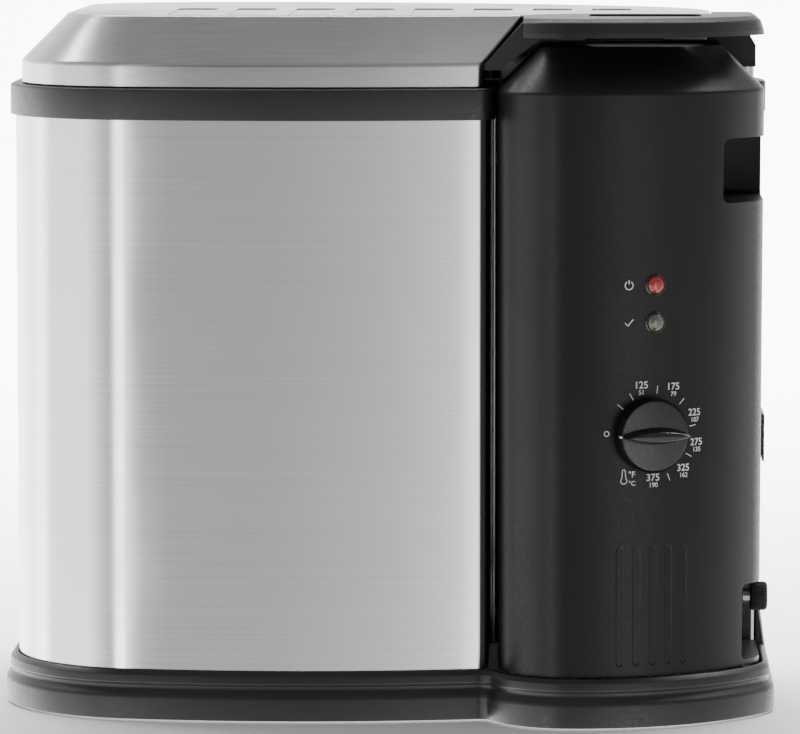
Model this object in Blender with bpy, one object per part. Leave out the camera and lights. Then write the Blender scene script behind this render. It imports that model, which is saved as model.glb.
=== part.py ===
"""Indoor electric turkey fryer kit: steel housing on a moulded base, lift-out control head with its
heating element, wire basket, and a vented lid whose black handle bridges the control head.

Metres, +Z up, front towards -Y. The origin is the centre of the footprint, on the surface below."""

from math import asin, atan2, cos, degrees, pi, radians, sin, sqrt

import bmesh
import bpy
from mathutils import Matrix, Vector

GAP = 0.0003  # between pieces that touch on the real object
SETBACK = 0.0039  # the knob stands out in front, so the housing sits this far behind the plan's numbers

# Plan of the steel housing
HOUSING_LEFT, HOUSING_RIGHT = -0.20635, 0.20635
HOUSING_FRONT, HOUSING_REAR = -0.1465, 0.1665
FRONT_APEX_X, REAR_APEX_X = -0.056, -0.069
SIDE_ROUND = 0.080  # corners at the left
RIGHT_ROUND = 0.135  # rear right corner
FRONT_QUARTER, REAR_QUARTER, RIGHT_QUARTER = 0.0862, 0.086, 0.183  # depth of each corner's curve
NOTCH_X, NOTCH_Y = 0.05675, -0.0355  # the corner cut out for the control head
NOTCH_ROUND, NOTCH_INNER_ROUND = 0.018, 0.006

# Plan of the control head
HEAD_LEFT, HEAD_RIGHT = 0.06075, 0.20635
HEAD_FRONT, HEAD_BACK = -0.1665, -0.0395
HEAD_LEFT_ROUND, HEAD_FRONT_ROUND, HEAD_RIGHT_ROUND, HEAD_BACK_ROUND = 0.040, 0.120, 0.030, 0.004
HEAD_WALL = 0.0025
FACE_CENTRE = Vector((HEAD_LEFT + HEAD_LEFT_ROUND, HEAD_FRONT + HEAD_FRONT_ROUND, 0))

# Heights
SKIRT_BOTTOM, BASE_TOP = 0.0012, 0.0276
BASE_SPREAD = 0.0075  # how far the base stands out from the housing
WRAP_TOP, BAND_BOTTOM, BAND_TOP = 0.3377, 0.327, 0.344
POT_BOTTOM, POT_WALL, POT_INSET = 0.046, 0.001, 0.012
HEAD_SHOULDER, HEAD_TOP, HEAD_SLOPE = 0.3425, 0.3665, 0.024
LID_BOTTOM, LID_SHOULDER, LID_TOP, LID_INSET, LID_SLOPE = 0.345, 0.357, 0.3825, 0.0035, 0.0255
ROOF_BOTTOM = 0.3722
ROOF_REAR = -0.0725  # where the lid's top sheet starts to cover the handle's roof
LEAN = 0.0145  # how far the notch's side wall leans out by the lid's top
BASKET_BOTTOM, BASKET_TOP, BASKET_INSET = 0.072, 0.322, 0.032

# Control face: angles round the face's centre, from straight ahead towards the right
KNOB_ANGLE, LAMP_ANGLE = 20.9, 22.5
KNOB_HEIGHT, KNOB_RADIUS = 0.1592, 0.0202
LAMP_HEIGHTS = {"power_lamp": 0.2398, "ready_lamp": 0.2195}
GROOVE_ANGLES = [13.2 + 4.5 * i for i in range(5)]
GROOVE_BOTTOM, GROOVE_TOP, GROOVE_WIDTH, GROOVE_DEPTH = 0.033, 0.099, 0.0046, 0.0015

# Openings in the head's right side, as low and high corners
POCKET = (0.178, -0.1334, 0.282), (0.230, -0.0485, 0.317)
DRAIN_BAY = (0.166, -0.119, 0.020), (0.230, -0.030, 0.0725)

# Element bracket and drain
BRACKET_LEFT, BRACKET_RIGHT, BRACKET_TOP, BRACKET_SHEET = 0.078, 0.142, 0.348, 0.002
BRACKET_BACK = NOTCH_Y + POT_INSET + POT_WALL + BRACKET_SHEET + 0.001
DRAIN_X, DRAIN_Y, DRAIN_HEIGHT, DRAIN_RADIUS = 0.178, -0.082, 0.0615, 0.005

# Power inlet in the right side, and the reset button in the back, as (x, z)
INLET_Y, INLET_HEIGHT, PIN_PITCH = -0.070, 0.150, 0.0075
RESET = 0.100, 0.215

# Lid vents and finger opening
GRILLE = (-0.1265, -0.0685), (0.1465, 0.0195)
GRILLE_WING = (0.042, -0.1055)  # left of this x the grille reaches further forward
GRILLE_SLOTS, SLOT_PITCH, SLOT_WIDTH = 8, 0.0333, 0.022
FINGER = (0.1108, -0.1195), (0.1717, -0.0795)
BAIL_X, BAIL_HEIGHT, BAIL_RADIUS, BAIL_ARM = -0.066, 0.316, 0.002, 0.050

SHEET = 0.0012  # the lid's sheet steel
ROOF_WALL, ROOF_BACK = 0.003, -0.0364  # the handle's roof over the control head
BLEND = 0.014  # radius of the hollow between housing and control head round the base
CAVITY_TOP = 0.340  # where the head's shoulder closes over its hollow


# ---------------------------------------------------------------- materials and small mesh tools

def material(name, colour, roughness, metallic=0.0):
    """A Principled material, made once for each name."""
    found = bpy.data.materials.get(name)
    if found:
        return found
    made = bpy.data.materials.new(name)
    made.use_nodes = True
    shader = made.node_tree.nodes["Principled BSDF"]
    shader.inputs["Base Color"].default_value = (*colour, 1.0)
    shader.inputs["Roughness"].default_value = roughness
    shader.inputs["Metallic"].default_value = metallic
    return made


def brushed_steel():
    return material("brushed_steel", (0.62, 0.61, 0.59), 0.32, 1.0)


def polished_steel():
    return material("polished_steel", (0.70, 0.70, 0.69), 0.18, 1.0)


def black_plastic():
    return material("black_plastic", (0.022, 0.021, 0.021), 0.5)


def gloss_black():
    return material("gloss_black", (0.015, 0.015, 0.015), 0.25)


def black_rubber():
    return material("black_rubber", (0.03, 0.03, 0.03), 0.8)


def zinc():
    return material("zinc", (0.55, 0.55, 0.56), 0.4, 1.0)


def brass():
    return material("brass", (0.70, 0.52, 0.24), 0.3, 1.0)


def alloy():
    return material("alloy", (0.55, 0.55, 0.55), 0.45, 1.0)


def cream_plastic():
    return material("cream_plastic", (0.72, 0.68, 0.58), 0.5)


def object_of(name, bm, finish=None, origin=(0, 0, 0), helper=False):
    """An object from a bmesh given in world space, with its origin moved to `origin`."""
    bmesh.ops.recalc_face_normals(bm, faces=bm.faces)
    origin = Vector(origin)
    bmesh.ops.translate(bm, vec=-origin, verts=bm.verts)
    mesh = bpy.data.meshes.new(name)
    bm.to_mesh(mesh)
    bm.free()
    obj = bpy.data.objects.new(name, mesh)
    obj.location = origin
    bpy.context.collection.objects.link(obj)
    if finish:
        mesh.materials.append(finish)
        mesh.shade_smooth()
        mesh.set_sharp_from_angle(angle=radians(35))
    if helper:
        obj.hide_render = True
        obj.display_type = "WIRE"
    return obj


def boolean(obj, other, operation="DIFFERENCE"):
    step = obj.modifiers.new(operation.title(), "BOOLEAN")
    step.object = other
    step.operation = operation
    return obj


def bevel(obj, width, segments=1, angle=30):
    step = obj.modifiers.new("Bevel", "BEVEL")
    step.width = width
    step.segments = segments
    step.limit_method = "ANGLE"
    step.angle_limit = radians(angle)
    return obj


def box_mesh(low, high):
    bm = bmesh.new()
    bmesh.ops.create_cube(bm, size=1.0)
    size = [b - a for a, b in zip(low, high)]
    middle = [(a + b) / 2 for a, b in zip(low, high)]
    bmesh.ops.scale(bm, vec=size, verts=bm.verts)
    bmesh.ops.translate(bm, vec=middle, verts=bm.verts)
    return bm


def box(name, low, high, finish=None, helper=False, origin=(0, 0, 0)):
    return object_of(name, box_mesh(low, high), finish, origin, helper)


def turned_mesh(profile, sides=20):
    """A solid turned round Z from (radius, height) pairs, whose first and last radius may be 0."""
    bm = bmesh.new()
    rings = []
    for radius, height in profile:
        if radius == 0:
            rings.append([bm.verts.new((0, 0, height))])
            continue
        turn = [2 * pi * i / sides for i in range(sides)]
        rings.append([bm.verts.new((radius * cos(t), radius * sin(t), height)) for t in turn])
    for low, high in zip(rings, rings[1:]):
        bridge(bm, low, high)
    for ring in (rings[0], rings[-1]):
        if len(ring) > 1:
            bm.faces.new(ring)
    return bm


def bridge(bm, low, high):
    """Faces between two rings of the same length, or between a ring and a point."""
    count = max(len(low), len(high))
    for i in range(count):
        j = (i + 1) % count
        corners = [low[i % len(low)], low[j % len(low)], high[j % len(high)], high[i % len(high)]]
        bm.faces.new(list(dict.fromkeys(corners)))


def turned(name, profile, finish=None, place=(0, 0, 0), axis=(0, 0, 1), sides=20, helper=False):
    """A turned solid whose Z axis points along `axis` from `place`, where its origin is."""
    bm = turned_mesh(profile, sides)
    turn = Vector((0, 0, 1)).rotation_difference(Vector(axis)).to_matrix()
    bmesh.ops.rotate(bm, matrix=turn, verts=bm.verts)
    bmesh.ops.translate(bm, vec=place, verts=bm.verts)
    return object_of(name, bm, finish, place, helper)


def rod(name, radius, low, high, **more):
    """A plain cylinder from `low` to `high` along its axis."""
    return turned(name, [(radius, low), (radius, high)], **more)


def rear_hole(name, radius, low, high, place, sides):
    """A cutter that runs towards the rear from `place`."""
    return rod(name, radius, low, high, place=place, axis=(0, 1, 0), sides=sides, helper=True)


def sweep_mesh(points, radius, sides=8, bore=0.0):
    """A round bar along `points`, or a pipe where `bore` is its inner radius."""
    points = [Vector(p) for p in points]
    ahead = [(b - a).normalized() for a, b in zip(points, points[1:])]
    tangents = [ahead[0]] + [(a + b).normalized() for a, b in zip(ahead, ahead[1:])] + [ahead[-1]]
    side = tangents[0].orthogonal().normalized()
    frames = []
    for place, tangent in zip(points, tangents):
        side = (side - tangent * side.dot(tangent)).normalized()
        frames.append((place, side, tangent.cross(side)))
    bm = bmesh.new()

    def ring(frame, size):
        place, across, up = frame
        turns = [2 * pi * i / sides for i in range(sides)]
        return [bm.verts.new(place + (across * cos(t) + up * sin(t)) * size) for t in turns]

    rings = [ring(frame, radius) for frame in frames]
    if bore:
        rings += [ring(frame, bore) for frame in reversed(frames)]
        bridge(bm, rings[-1], rings[0])
    else:
        bm.faces.new(rings[0])
        bm.faces.new(rings[-1])
    for low, high in zip(rings, rings[1:]):
        bridge(bm, low, high)
    return bm


def bent_bar(name, points, radius, finish, sides=8, bore=0.0, origin=(0, 0, 0)):
    return object_of(name, sweep_mesh(points, radius, sides, bore), finish, origin)


def extruded(name, corners, plane, low, high, finish=None, helper=False):
    """A flat outline pushed along the third axis; `plane` names the outline's two axes."""
    axes = ["XYZ".index(letter) for letter in plane]
    third = 3 - sum(axes)
    bm = bmesh.new()
    layers = []
    for level in (low, high):
        layer = []
        for pair in corners:
            place = [level] * 3
            place[axes[0]], place[axes[1]], place[third] = pair[0], pair[1], level
            layer.append(bm.verts.new(place))
        layers.append(layer)
    bridge(bm, *layers)
    bm.faces.new(layers[0])
    bm.faces.new(layers[1])
    return object_of(name, bm, finish, helper=helper)


def rounded_path(corners, radius, steps=4):
    """The corners of a path with each bend replaced by an arc-like curve of about `radius`."""
    corners = [Vector(c) for c in corners]
    points = [corners[0]]
    for before, corner, after in zip(corners, corners[1:], corners[2:]):
        back, ahead = (before - corner), (after - corner)
        reach = min(radius, back.length / 2.01, ahead.length / 2.01)
        start, end = corner + back.normalized() * reach, corner + ahead.normalized() * reach
        for i in range(steps + 1):
            t = i / steps
            points.append((1 - t) ** 2 * start + 2 * t * (1 - t) * corner + t * t * end)
    points.append(corners[-1])
    return points


# ---------------------------------------------------------------- outlines seen from above

def arc(centre, radius, start, end, steps):
    """Points along an arc, with both ends, in degrees."""
    turns = [radians(start + (end - start) * i / steps) for i in range(steps + 1)]
    return [(centre[0] + radius * cos(t), centre[1] + radius * sin(t)) for t in turns]


def oval_quarter(half_x, half_y, corner):
    """A quarter outline of a tight arc and a flatter one: the flatter radius, and the join's angle."""
    a, b = half_x - corner, half_y - corner
    extra = (a * a + b * b) / (2 * b)
    return corner + extra, degrees(atan2(extra - b, a))


def rear_and_left(grow):
    """The part that housing and base share: up the right side, round the rear, down the left side."""
    flat_right, join_right = oval_quarter(HOUSING_RIGHT - REAR_APEX_X, RIGHT_QUARTER, RIGHT_ROUND)
    flat_left, join_left = oval_quarter(REAR_APEX_X - HOUSING_LEFT, REAR_QUARTER, SIDE_ROUND)
    front, join_front = oval_quarter(FRONT_APEX_X - HOUSING_LEFT, FRONT_QUARTER, SIDE_ROUND)
    right = (HOUSING_RIGHT - RIGHT_ROUND, HOUSING_REAR - RIGHT_QUARTER)
    left_rear = (HOUSING_LEFT + SIDE_ROUND, HOUSING_REAR - REAR_QUARTER)
    left_front = (HOUSING_LEFT + SIDE_ROUND, HOUSING_FRONT + FRONT_QUARTER)
    points = arc(right, RIGHT_ROUND + grow, 0, join_right, 5)
    points += arc((REAR_APEX_X, HOUSING_REAR - flat_right), flat_right + grow, join_right, 90, 4)[1:]
    points += arc((REAR_APEX_X, HOUSING_REAR - flat_left), flat_left + grow, 90, 180 - join_left, 3)[1:]
    points += arc(left_rear, SIDE_ROUND + grow, 180 - join_left, 180, 5)[1:]
    points += arc(left_front, SIDE_ROUND + grow, 180, 180 + join_front, 5)
    return points, (FRONT_APEX_X, HOUSING_FRONT + front), front, 180 + join_front


def housing_outline(grow=0.0, notch_x=None, notch_y=None):
    """The housing's outline moved out by `grow`, and its notch's two walls by their own amounts."""
    notch_x = grow if notch_x is None else notch_x
    notch_y = grow if notch_y is None else notch_y
    points, centre, front, start = rear_and_left(grow)
    round_out = max(NOTCH_ROUND + grow, 0.003)
    corner_x = NOTCH_X + notch_x - round_out
    reach = front + grow - round_out
    corner_y = centre[1] - sqrt(reach ** 2 - (corner_x - centre[0]) ** 2)
    turn = degrees(asin((corner_x - centre[0]) / reach)) - 90
    points += arc(centre, front + grow, start, 360 + turn, 5)[1:]
    points += arc((corner_x, corner_y), round_out, turn, 0, 4)[1:]
    round_in = max(NOTCH_INNER_ROUND - grow, 0.002)
    inner = (NOTCH_X + notch_x + round_in, NOTCH_Y - notch_y - round_in)
    points += arc(inner, round_in, 180, 90, 3)
    right = (HOUSING_RIGHT + grow - round_out, NOTCH_Y - notch_y + round_out)
    return points + arc(right, round_out, -90, 0, 3)


def circles_meet(first, first_radius, second, second_radius):
    """The lower of the two points where two circles cross."""
    across = Vector(second) - Vector(first)
    along = (first_radius ** 2 - second_radius ** 2 + across.length_squared) / (2 * across.length)
    side = sqrt(first_radius ** 2 - along ** 2)
    ahead = across.normalized()
    options = [Vector(first) + ahead * along + Vector((-ahead.y, ahead.x)) * s for s in (side, -side)]
    return min(options, key=lambda p: p.y)


def base_outline(grow=0.0):
    """The outline round the housing and the control head together."""
    points, centre, front, start = rear_and_left(grow)
    corner = (HEAD_LEFT + HEAD_LEFT_ROUND, HEAD_FRONT + HEAD_LEFT_ROUND)
    hollow = circles_meet(centre, front + BLEND, corner, HEAD_LEFT_ROUND + BLEND)
    leave = degrees(atan2(hollow.y - centre[1], hollow.x - centre[0]))
    arrive = degrees(atan2(hollow.y - corner[1], hollow.x - corner[0]))
    points += arc(centre, front + grow, start, 360 + leave, 5)[1:]
    points += arc(hollow, BLEND - grow, leave + 180, arrive + 180, 3)[1:]
    points += arc(corner, HEAD_LEFT_ROUND + grow, arrive, -90, 4)[1:]
    return points + head_front_right(grow)


def head_front_right(grow):
    """The control head's long front curve and its right front corner."""
    face = (FACE_CENTRE.x, FACE_CENTRE.y)
    corner_x = HEAD_RIGHT - HEAD_RIGHT_ROUND
    reach = HEAD_FRONT_ROUND - HEAD_RIGHT_ROUND
    corner_y = face[1] - sqrt(reach ** 2 - (corner_x - face[0]) ** 2)
    join = degrees(atan2(corner_y - face[1], corner_x - face[0]))
    points = arc(face, HEAD_FRONT_ROUND + grow, -90, join, 8)[1:]
    return points + arc((corner_x, corner_y), HEAD_RIGHT_ROUND + grow, join, 0, 3)[1:]


def head_outline(grow=0.0, back=HEAD_BACK):
    """The control head's outline moved out by `grow`, with its straight back at `back`."""
    round_back = max(HEAD_BACK_ROUND + min(grow, 0), 0.001)
    left, right = HEAD_LEFT - grow + round_back, HEAD_RIGHT + grow - round_back
    corner = (HEAD_LEFT + HEAD_LEFT_ROUND, HEAD_FRONT + HEAD_LEFT_ROUND)
    points = arc((right, back - round_back), round_back, 0, 90, 2)
    points += arc((left, back - round_back), round_back, 90, 180, 2)
    points += arc(corner, HEAD_LEFT_ROUND + grow, 180, 270, 6)
    return points + head_front_right(grow)


def loft_mesh(rings, ring_shaped=False):
    """A solid through rings of (outline, height): capped at both ends, or closed into a hoop."""
    bm = bmesh.new()
    layers = [[bm.verts.new((x, y, height)) for x, y in outline] for outline, height in rings]
    for low, high in zip(layers, layers[1:]):
        bridge(bm, low, high)
    if ring_shaped:
        bridge(bm, layers[-1], layers[0])
    else:
        bm.faces.new(layers[0])
        bm.faces.new(layers[-1])
    return bm


def loft(name, outline, profile, finish=None, ring_shaped=False, helper=False, origin=(0, 0, 0)):
    """A loft through `outline(grow)` at each (grow, height) of the profile."""
    rings = [(outline(grow), height) for grow, height in profile]
    return object_of(name, loft_mesh(rings, ring_shaped), finish, origin, helper)


# ---------------------------------------------------------------- housing

def base_plinth():
    """The moulded tray that everything stands on: a beaded skirt, a deck, and four screw posts."""
    spread = BASE_SPREAD
    profile = [
        (0.0005, BASE_TOP - 0.003), (0.0010, 0.0180), (spread - 0.0028, 0.0120),
        (spread - 0.0028, SKIRT_BOTTOM), (spread, SKIRT_BOTTOM), (spread, 0.0135),
        (0.0068, 0.0162), (0.0040, 0.0182), (0.0042, 0.0195), (0.0050, 0.0212),
        (0.0044, 0.0250), (0.0026, BASE_TOP),
    ]
    base = loft("base_plinth", base_outline, profile, black_plastic())
    riser_profile = [(0.0008, 0.0265), (0.0046, 0.0225), (0.0026, 0.0440), (0.0008, 0.0440)]
    riser = loft("base_riser_ring", base_outline, riser_profile, helper=True, ring_shaped=True)
    keep = box("base_riser_keep", (0.150, -0.0325, 0.01), (0.230, 0.045, 0.06), helper=True)
    boolean(riser, keep, "INTERSECT")
    boolean(base, riser, "UNION")
    for i, (x, y) in enumerate(screw_places()):
        place = (x, y, 0)
        post = rod(f"base_post_{i}", 0.005, 0.0056, BASE_TOP - 0.001, place=place, sides=12, helper=True)
        bore = rod(f"base_bore_{i}", 0.0021, 0.004, 0.0190, place=place, sides=10, helper=True)
        boolean(base, post, "UNION")
        boolean(base, bore)
    return base


def screw_places():
    return [(-0.150, -0.095), (0.150, -0.105), (-0.150, 0.095), (0.110, 0.100)]


def bottom_plate():
    """The sheet that closes the tray from below."""
    edge = BASE_SPREAD - 0.0034
    plate = loft("bottom_plate", base_outline, [(edge, 0.0036), (edge, 0.0048)], alloy())
    for i, (x, y) in enumerate(screw_places()):
        hole = rod(f"plate_hole_{i}", 0.0022, 0.001, 0.008, place=(x, y, 0), sides=10, helper=True)
        boolean(plate, hole)
    return plate


def base_screws():
    profile = [(0.0035, 0.0016), (0.0040, 0.0024), (0.0040, 0.0033)]
    profile += [(0.0016, 0.0033), (0.0016, 0.0160)]
    for i, (x, y) in enumerate(screw_places()):
        turned(f"base_screw_{i + 1}", profile, zinc(), (x, y, 0), sides=12)


def feet():
    profile = [(0.0085, 0.0), (0.0100, 0.0008), (0.0100, 0.0033)]
    places = {"front_left": (-0.165, -0.060), "front_right": (0.185, -0.070)}
    places |= {"rear_left": (-0.165, 0.070), "rear_right": (0.140, 0.080)}
    for name, (x, y) in places.items():
        turned(f"foot_{name}", profile, black_rubber(), (x, y, 0), sides=16)


def outer_wrap():
    """The brushed steel wall, one sheet that follows the notch, with a hole for the drain pipe."""
    profile = [(0.0, BASE_TOP + GAP), (0.0, WRAP_TOP), (-0.001, WRAP_TOP), (-0.001, BASE_TOP + GAP)]
    wrap = loft("outer_wrap", housing_outline, profile, brushed_steel(), ring_shaped=True)
    return boolean(wrap, drain_hole("wrap_drain_hole", 0.0060))


def drain_hole(name, radius):
    return rear_hole(name, radius, -0.006, 0.016, (DRAIN_X, NOTCH_Y, DRAIN_HEIGHT), 14)


def top_band():
    """The black rim that clips over the wall's top edge and carries the pot."""
    profile = [
        (0.0030, BAND_BOTTOM), (0.0030, BAND_TOP - 0.0008), (0.0022, BAND_TOP), (-0.0060, BAND_TOP),
        (-0.0060, 0.3410), (-0.0117, 0.3410), (-0.0117, 0.3380), (0.0003, 0.3380), (0.0003, BAND_BOTTOM),
    ]
    return loft("top_band", housing_outline, profile, black_plastic(), ring_shaped=True)


def inner_pot():
    """The pressed pot, hung by its flange in the band, with a drain hole low in the notch."""
    inset, wall = POT_INSET, POT_WALL
    profile = [
        (-inset - 0.008, POT_BOTTOM), (-inset - 0.002, POT_BOTTOM + 0.002), (-inset, POT_BOTTOM + 0.008),
        (-inset, 0.3413), (-0.0066, 0.3413), (-0.0066, 0.3423), (-inset - wall, 0.3423),
        (-inset - wall, POT_BOTTOM + 0.0086), (-inset - 0.0028, POT_BOTTOM + 0.0028),
        (-inset - 0.0086, POT_BOTTOM + wall),
    ]
    pot = loft("inner_pot", housing_outline, profile, polished_steel())
    return boolean(pot, drain_hole("pot_drain_hole", 0.0040))


def drain():
    """The spout: a bent pipe from the pot to the bay, with its seal, nut, cap and tether."""
    start, end = NOTCH_Y + 0.0112, HOUSING_RIGHT - 0.0055
    corners = [(DRAIN_X, start), (DRAIN_X, DRAIN_Y), (end, DRAIN_Y)]
    route = [(x, y, DRAIN_HEIGHT) for x, y in corners]
    bent_bar("drain_pipe", rounded_path(route, 0.014, 4), DRAIN_RADIUS, zinc(), 12, bore=0.0034)
    wall = (DRAIN_X, NOTCH_Y, DRAIN_HEIGHT)
    washer = [(0.0054, -0.0022), (0.0080, -0.0022), (0.0080, -0.0004), (0.0054, -0.0004)]
    nut = [(0.0062, -0.0066), (0.0090, -0.0066), (0.0090, -0.0026), (0.0062, -0.0026)]
    hoop("drain_washer", washer, black_rubber(), wall, (0, 1, 0), 16)
    hoop("drain_nut", nut, brass(), wall, (0, 1, 0), 6)
    mouth = (end, DRAIN_Y, DRAIN_HEIGHT)
    plug = [(0.0029, -0.0080), (0.0029, 0.0004), (0.0070, 0.0004), (0.0080, 0.0014)]
    plug += [(0.0080, 0.0082), (0.0070, 0.0092)]
    turned("drain_cap", plug, black_rubber(), mouth, (1, 0, 0), 20)
    ring = [(0.0053, -0.0062), (0.0074, -0.0062), (0.0074, -0.0044), (0.0053, -0.0044)]
    tether = hoop("cap_tether", ring, black_rubber(), mouth, (1, 0, 0), 16)
    corners = [(0.0065, DRAIN_HEIGHT), (0.020, DRAIN_HEIGHT - 0.004)]
    corners += [(0.032, BASE_TOP + 0.010), (0.034, BASE_TOP + 0.0006)]
    strap = rounded_path([(end - 0.0053, DRAIN_Y + back, z) for back, z in corners], 0.010, 3)
    boolean(tether, object_of("tether_strap", sweep_mesh(strap, 0.0008, 6), helper=True), "UNION")


def hoop(name, profile, finish, place, axis, sides):
    """A turned ring whose profile runs round its section."""
    bm = bmesh.new()
    turns = [2 * pi * i / sides for i in range(sides)]
    rings = [[bm.verts.new((r * cos(t), r * sin(t), h)) for t in turns] for r, h in profile]
    for low, high in zip(rings, rings[1:] + rings[:1]):
        bridge(bm, low, high)
    turn = Vector((0, 0, 1)).rotation_difference(Vector(axis)).to_matrix()
    bmesh.ops.rotate(bm, matrix=turn, verts=bm.verts)
    bmesh.ops.translate(bm, vec=place, verts=bm.verts)
    return object_of(name, bm, finish, place)


# ---------------------------------------------------------------- control head

def on_face(angle, height, out=0.0):
    """The frame of a point on the control face: X to the right, Y up, Z outwards."""
    turn = radians(angle)
    outwards = Vector((sin(turn), -cos(turn), 0))
    across = Vector((cos(turn), sin(turn), 0))
    place = FACE_CENTRE + outwards * (HEAD_FRONT_ROUND + out) + Vector((0, 0, height))
    frame = Matrix.Identity(4)
    for column, axis in enumerate((across, Vector((0, 0, 1)), outwards)):
        frame.col[column].xyz = axis
    frame.translation = place
    return frame


def face_object(name, bm, frame, finish=None, helper=False):
    """An object from a bmesh given in the frame of a point on the face, where its origin is."""
    bmesh.ops.transform(bm, matrix=frame, verts=bm.verts)
    return object_of(name, bm, finish, frame.translation, helper)


def grown(low, high, by):
    return [a - by for a in low], [b + by for b in high]


def head_cavity():
    """The hollow of the control head, open at the back, less the walls round its two openings."""
    outline = head_outline(-HEAD_WALL, HEAD_BACK + 0.01)
    rings = [(outline, BASE_TOP + GAP + HEAD_WALL), (outline, CAVITY_TOP)]
    cavity = object_of("head_cavity", loft_mesh(rings), helper=True)
    for name, corners in (("pocket", POCKET), ("bay", DRAIN_BAY)):
        walls = box(f"{name}_walls", *grown(*corners, HEAD_WALL), helper=True)
        boolean(cavity, walls)
    return cavity


def head_shell():
    """The front shell: drafted sides, sloped shoulders, a hand-hold, a drain bay and the face's holes."""
    profile = [(-0.0012, BASE_TOP + GAP), (0.0, HEAD_SHOULDER), (-HEAD_SLOPE, HEAD_TOP)]
    shell = loft("head_shell", head_outline, profile, black_plastic())
    boolean(shell, head_cavity())
    top = [(-HEAD_WALL, CAVITY_TOP - 0.0005), (-HEAD_WALL, 0.3415), (-HEAD_SLOPE - 0.0010, 0.3640)]
    rings = [(head_outline(grow, HEAD_BACK - HEAD_WALL), height) for grow, height in top]
    boolean(shell, object_of("head_top_cavity", loft_mesh(rings), helper=True))
    boolean(shell, box("pocket_cut", *POCKET, helper=True))
    boolean(shell, box("bay_cut", *DRAIN_BAY, helper=True))
    slot = (BRACKET_LEFT - 0.003, -0.050, 0.3442), (BRACKET_RIGHT + 0.003, -0.030, 0.3498)
    boolean(shell, box("bracket_slot", *slot, helper=True))
    boolean(shell, face_hole("knob_hole", KNOB_ANGLE, KNOB_HEIGHT, 0.0045))
    for name, height in LAMP_HEIGHTS.items():
        boolean(shell, face_hole(f"{name}_hole", LAMP_ANGLE, height, 0.0043))
    half = GROOVE_WIDTH / 2
    for i, angle in enumerate(GROOVE_ANGLES):
        groove = box_mesh((-half, GROOVE_BOTTOM, -GROOVE_DEPTH), (half, GROOVE_TOP, 0.010))
        boolean(shell, face_object(f"groove_{i}", groove, on_face(angle, 0), helper=True))
    low, high = inlet_box(0.195, 0.215, 0.0153, 0.0103)
    boolean(shell, box("inlet_hole", low, high, helper=True))
    for i, (x, z) in enumerate(cover_screw_places()):
        start = (x, HEAD_BACK - HEAD_WALL - GAP, z)
        post = rod(f"post_{i}", 0.0036, -0.018, 0, place=start, axis=(0, 1, 0), sides=10, helper=True)
        bore = rod(f"bore_{i}", 0.0015, -0.014, 0.010, place=start, axis=(0, 1, 0), sides=8, helper=True)
        boolean(shell, post, "UNION")
        boolean(shell, bore)
    return shell


def inlet_box(inner, outer, half_width, half_height):
    """The low and high corners of a box round the power inlet's axis."""
    low = (inner, INLET_Y - half_width, INLET_HEIGHT - half_height)
    return low, (outer, INLET_Y + half_width, INLET_HEIGHT + half_height)


def face_hole(name, angle, height, radius):
    bm = turned_mesh([(radius, -0.008), (radius, 0.008)], 16)
    return face_object(name, bm, on_face(angle, height), helper=True)


def cover_screw_places():
    left, right = HEAD_LEFT + HEAD_WALL + 0.0030, HEAD_RIGHT - HEAD_WALL - 0.0030
    return [(left, 0.045), (left, 0.300), (right, 0.105), (right, 0.262)]


def back_cover():
    """The plate that closes the control head from behind."""
    side = HEAD_WALL + GAP
    low = (HEAD_LEFT + side, HEAD_BACK - HEAD_WALL, BASE_TOP + GAP + side)
    high = (HEAD_RIGHT - side, HEAD_BACK, CAVITY_TOP - GAP)
    cover = box("head_back_cover", low, high, black_plastic())
    boolean(cover, box("cover_bay_cut", *grown(*DRAIN_BAY, HEAD_WALL + GAP), helper=True))
    for i, (x, z) in enumerate(cover_screw_places()):
        boolean(cover, back_hole(f"cover_hole_{i}", x, z, 0.0016))
        boolean(cover, back_hole(f"cover_counterbore_{i}", x, z, 0.0034, 0.0012))
    return boolean(cover, back_hole("reset_hole", *RESET, 0.0034))


def back_hole(name, x, z, radius, depth=0.006):
    return rear_hole(name, radius, -depth, 0.006, (x, HEAD_BACK, z), 10)


def cover_screws():
    profile = [(0.0012, -0.0140), (0.0012, -0.0009), (0.0030, -0.0009), (0.0026, 0.0004)]
    for i, (x, z) in enumerate(cover_screw_places()):
        turned(f"cover_screw_{i + 1}", profile, zinc(), (x, HEAD_BACK, z), (0, 1, 0), 12)


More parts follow.
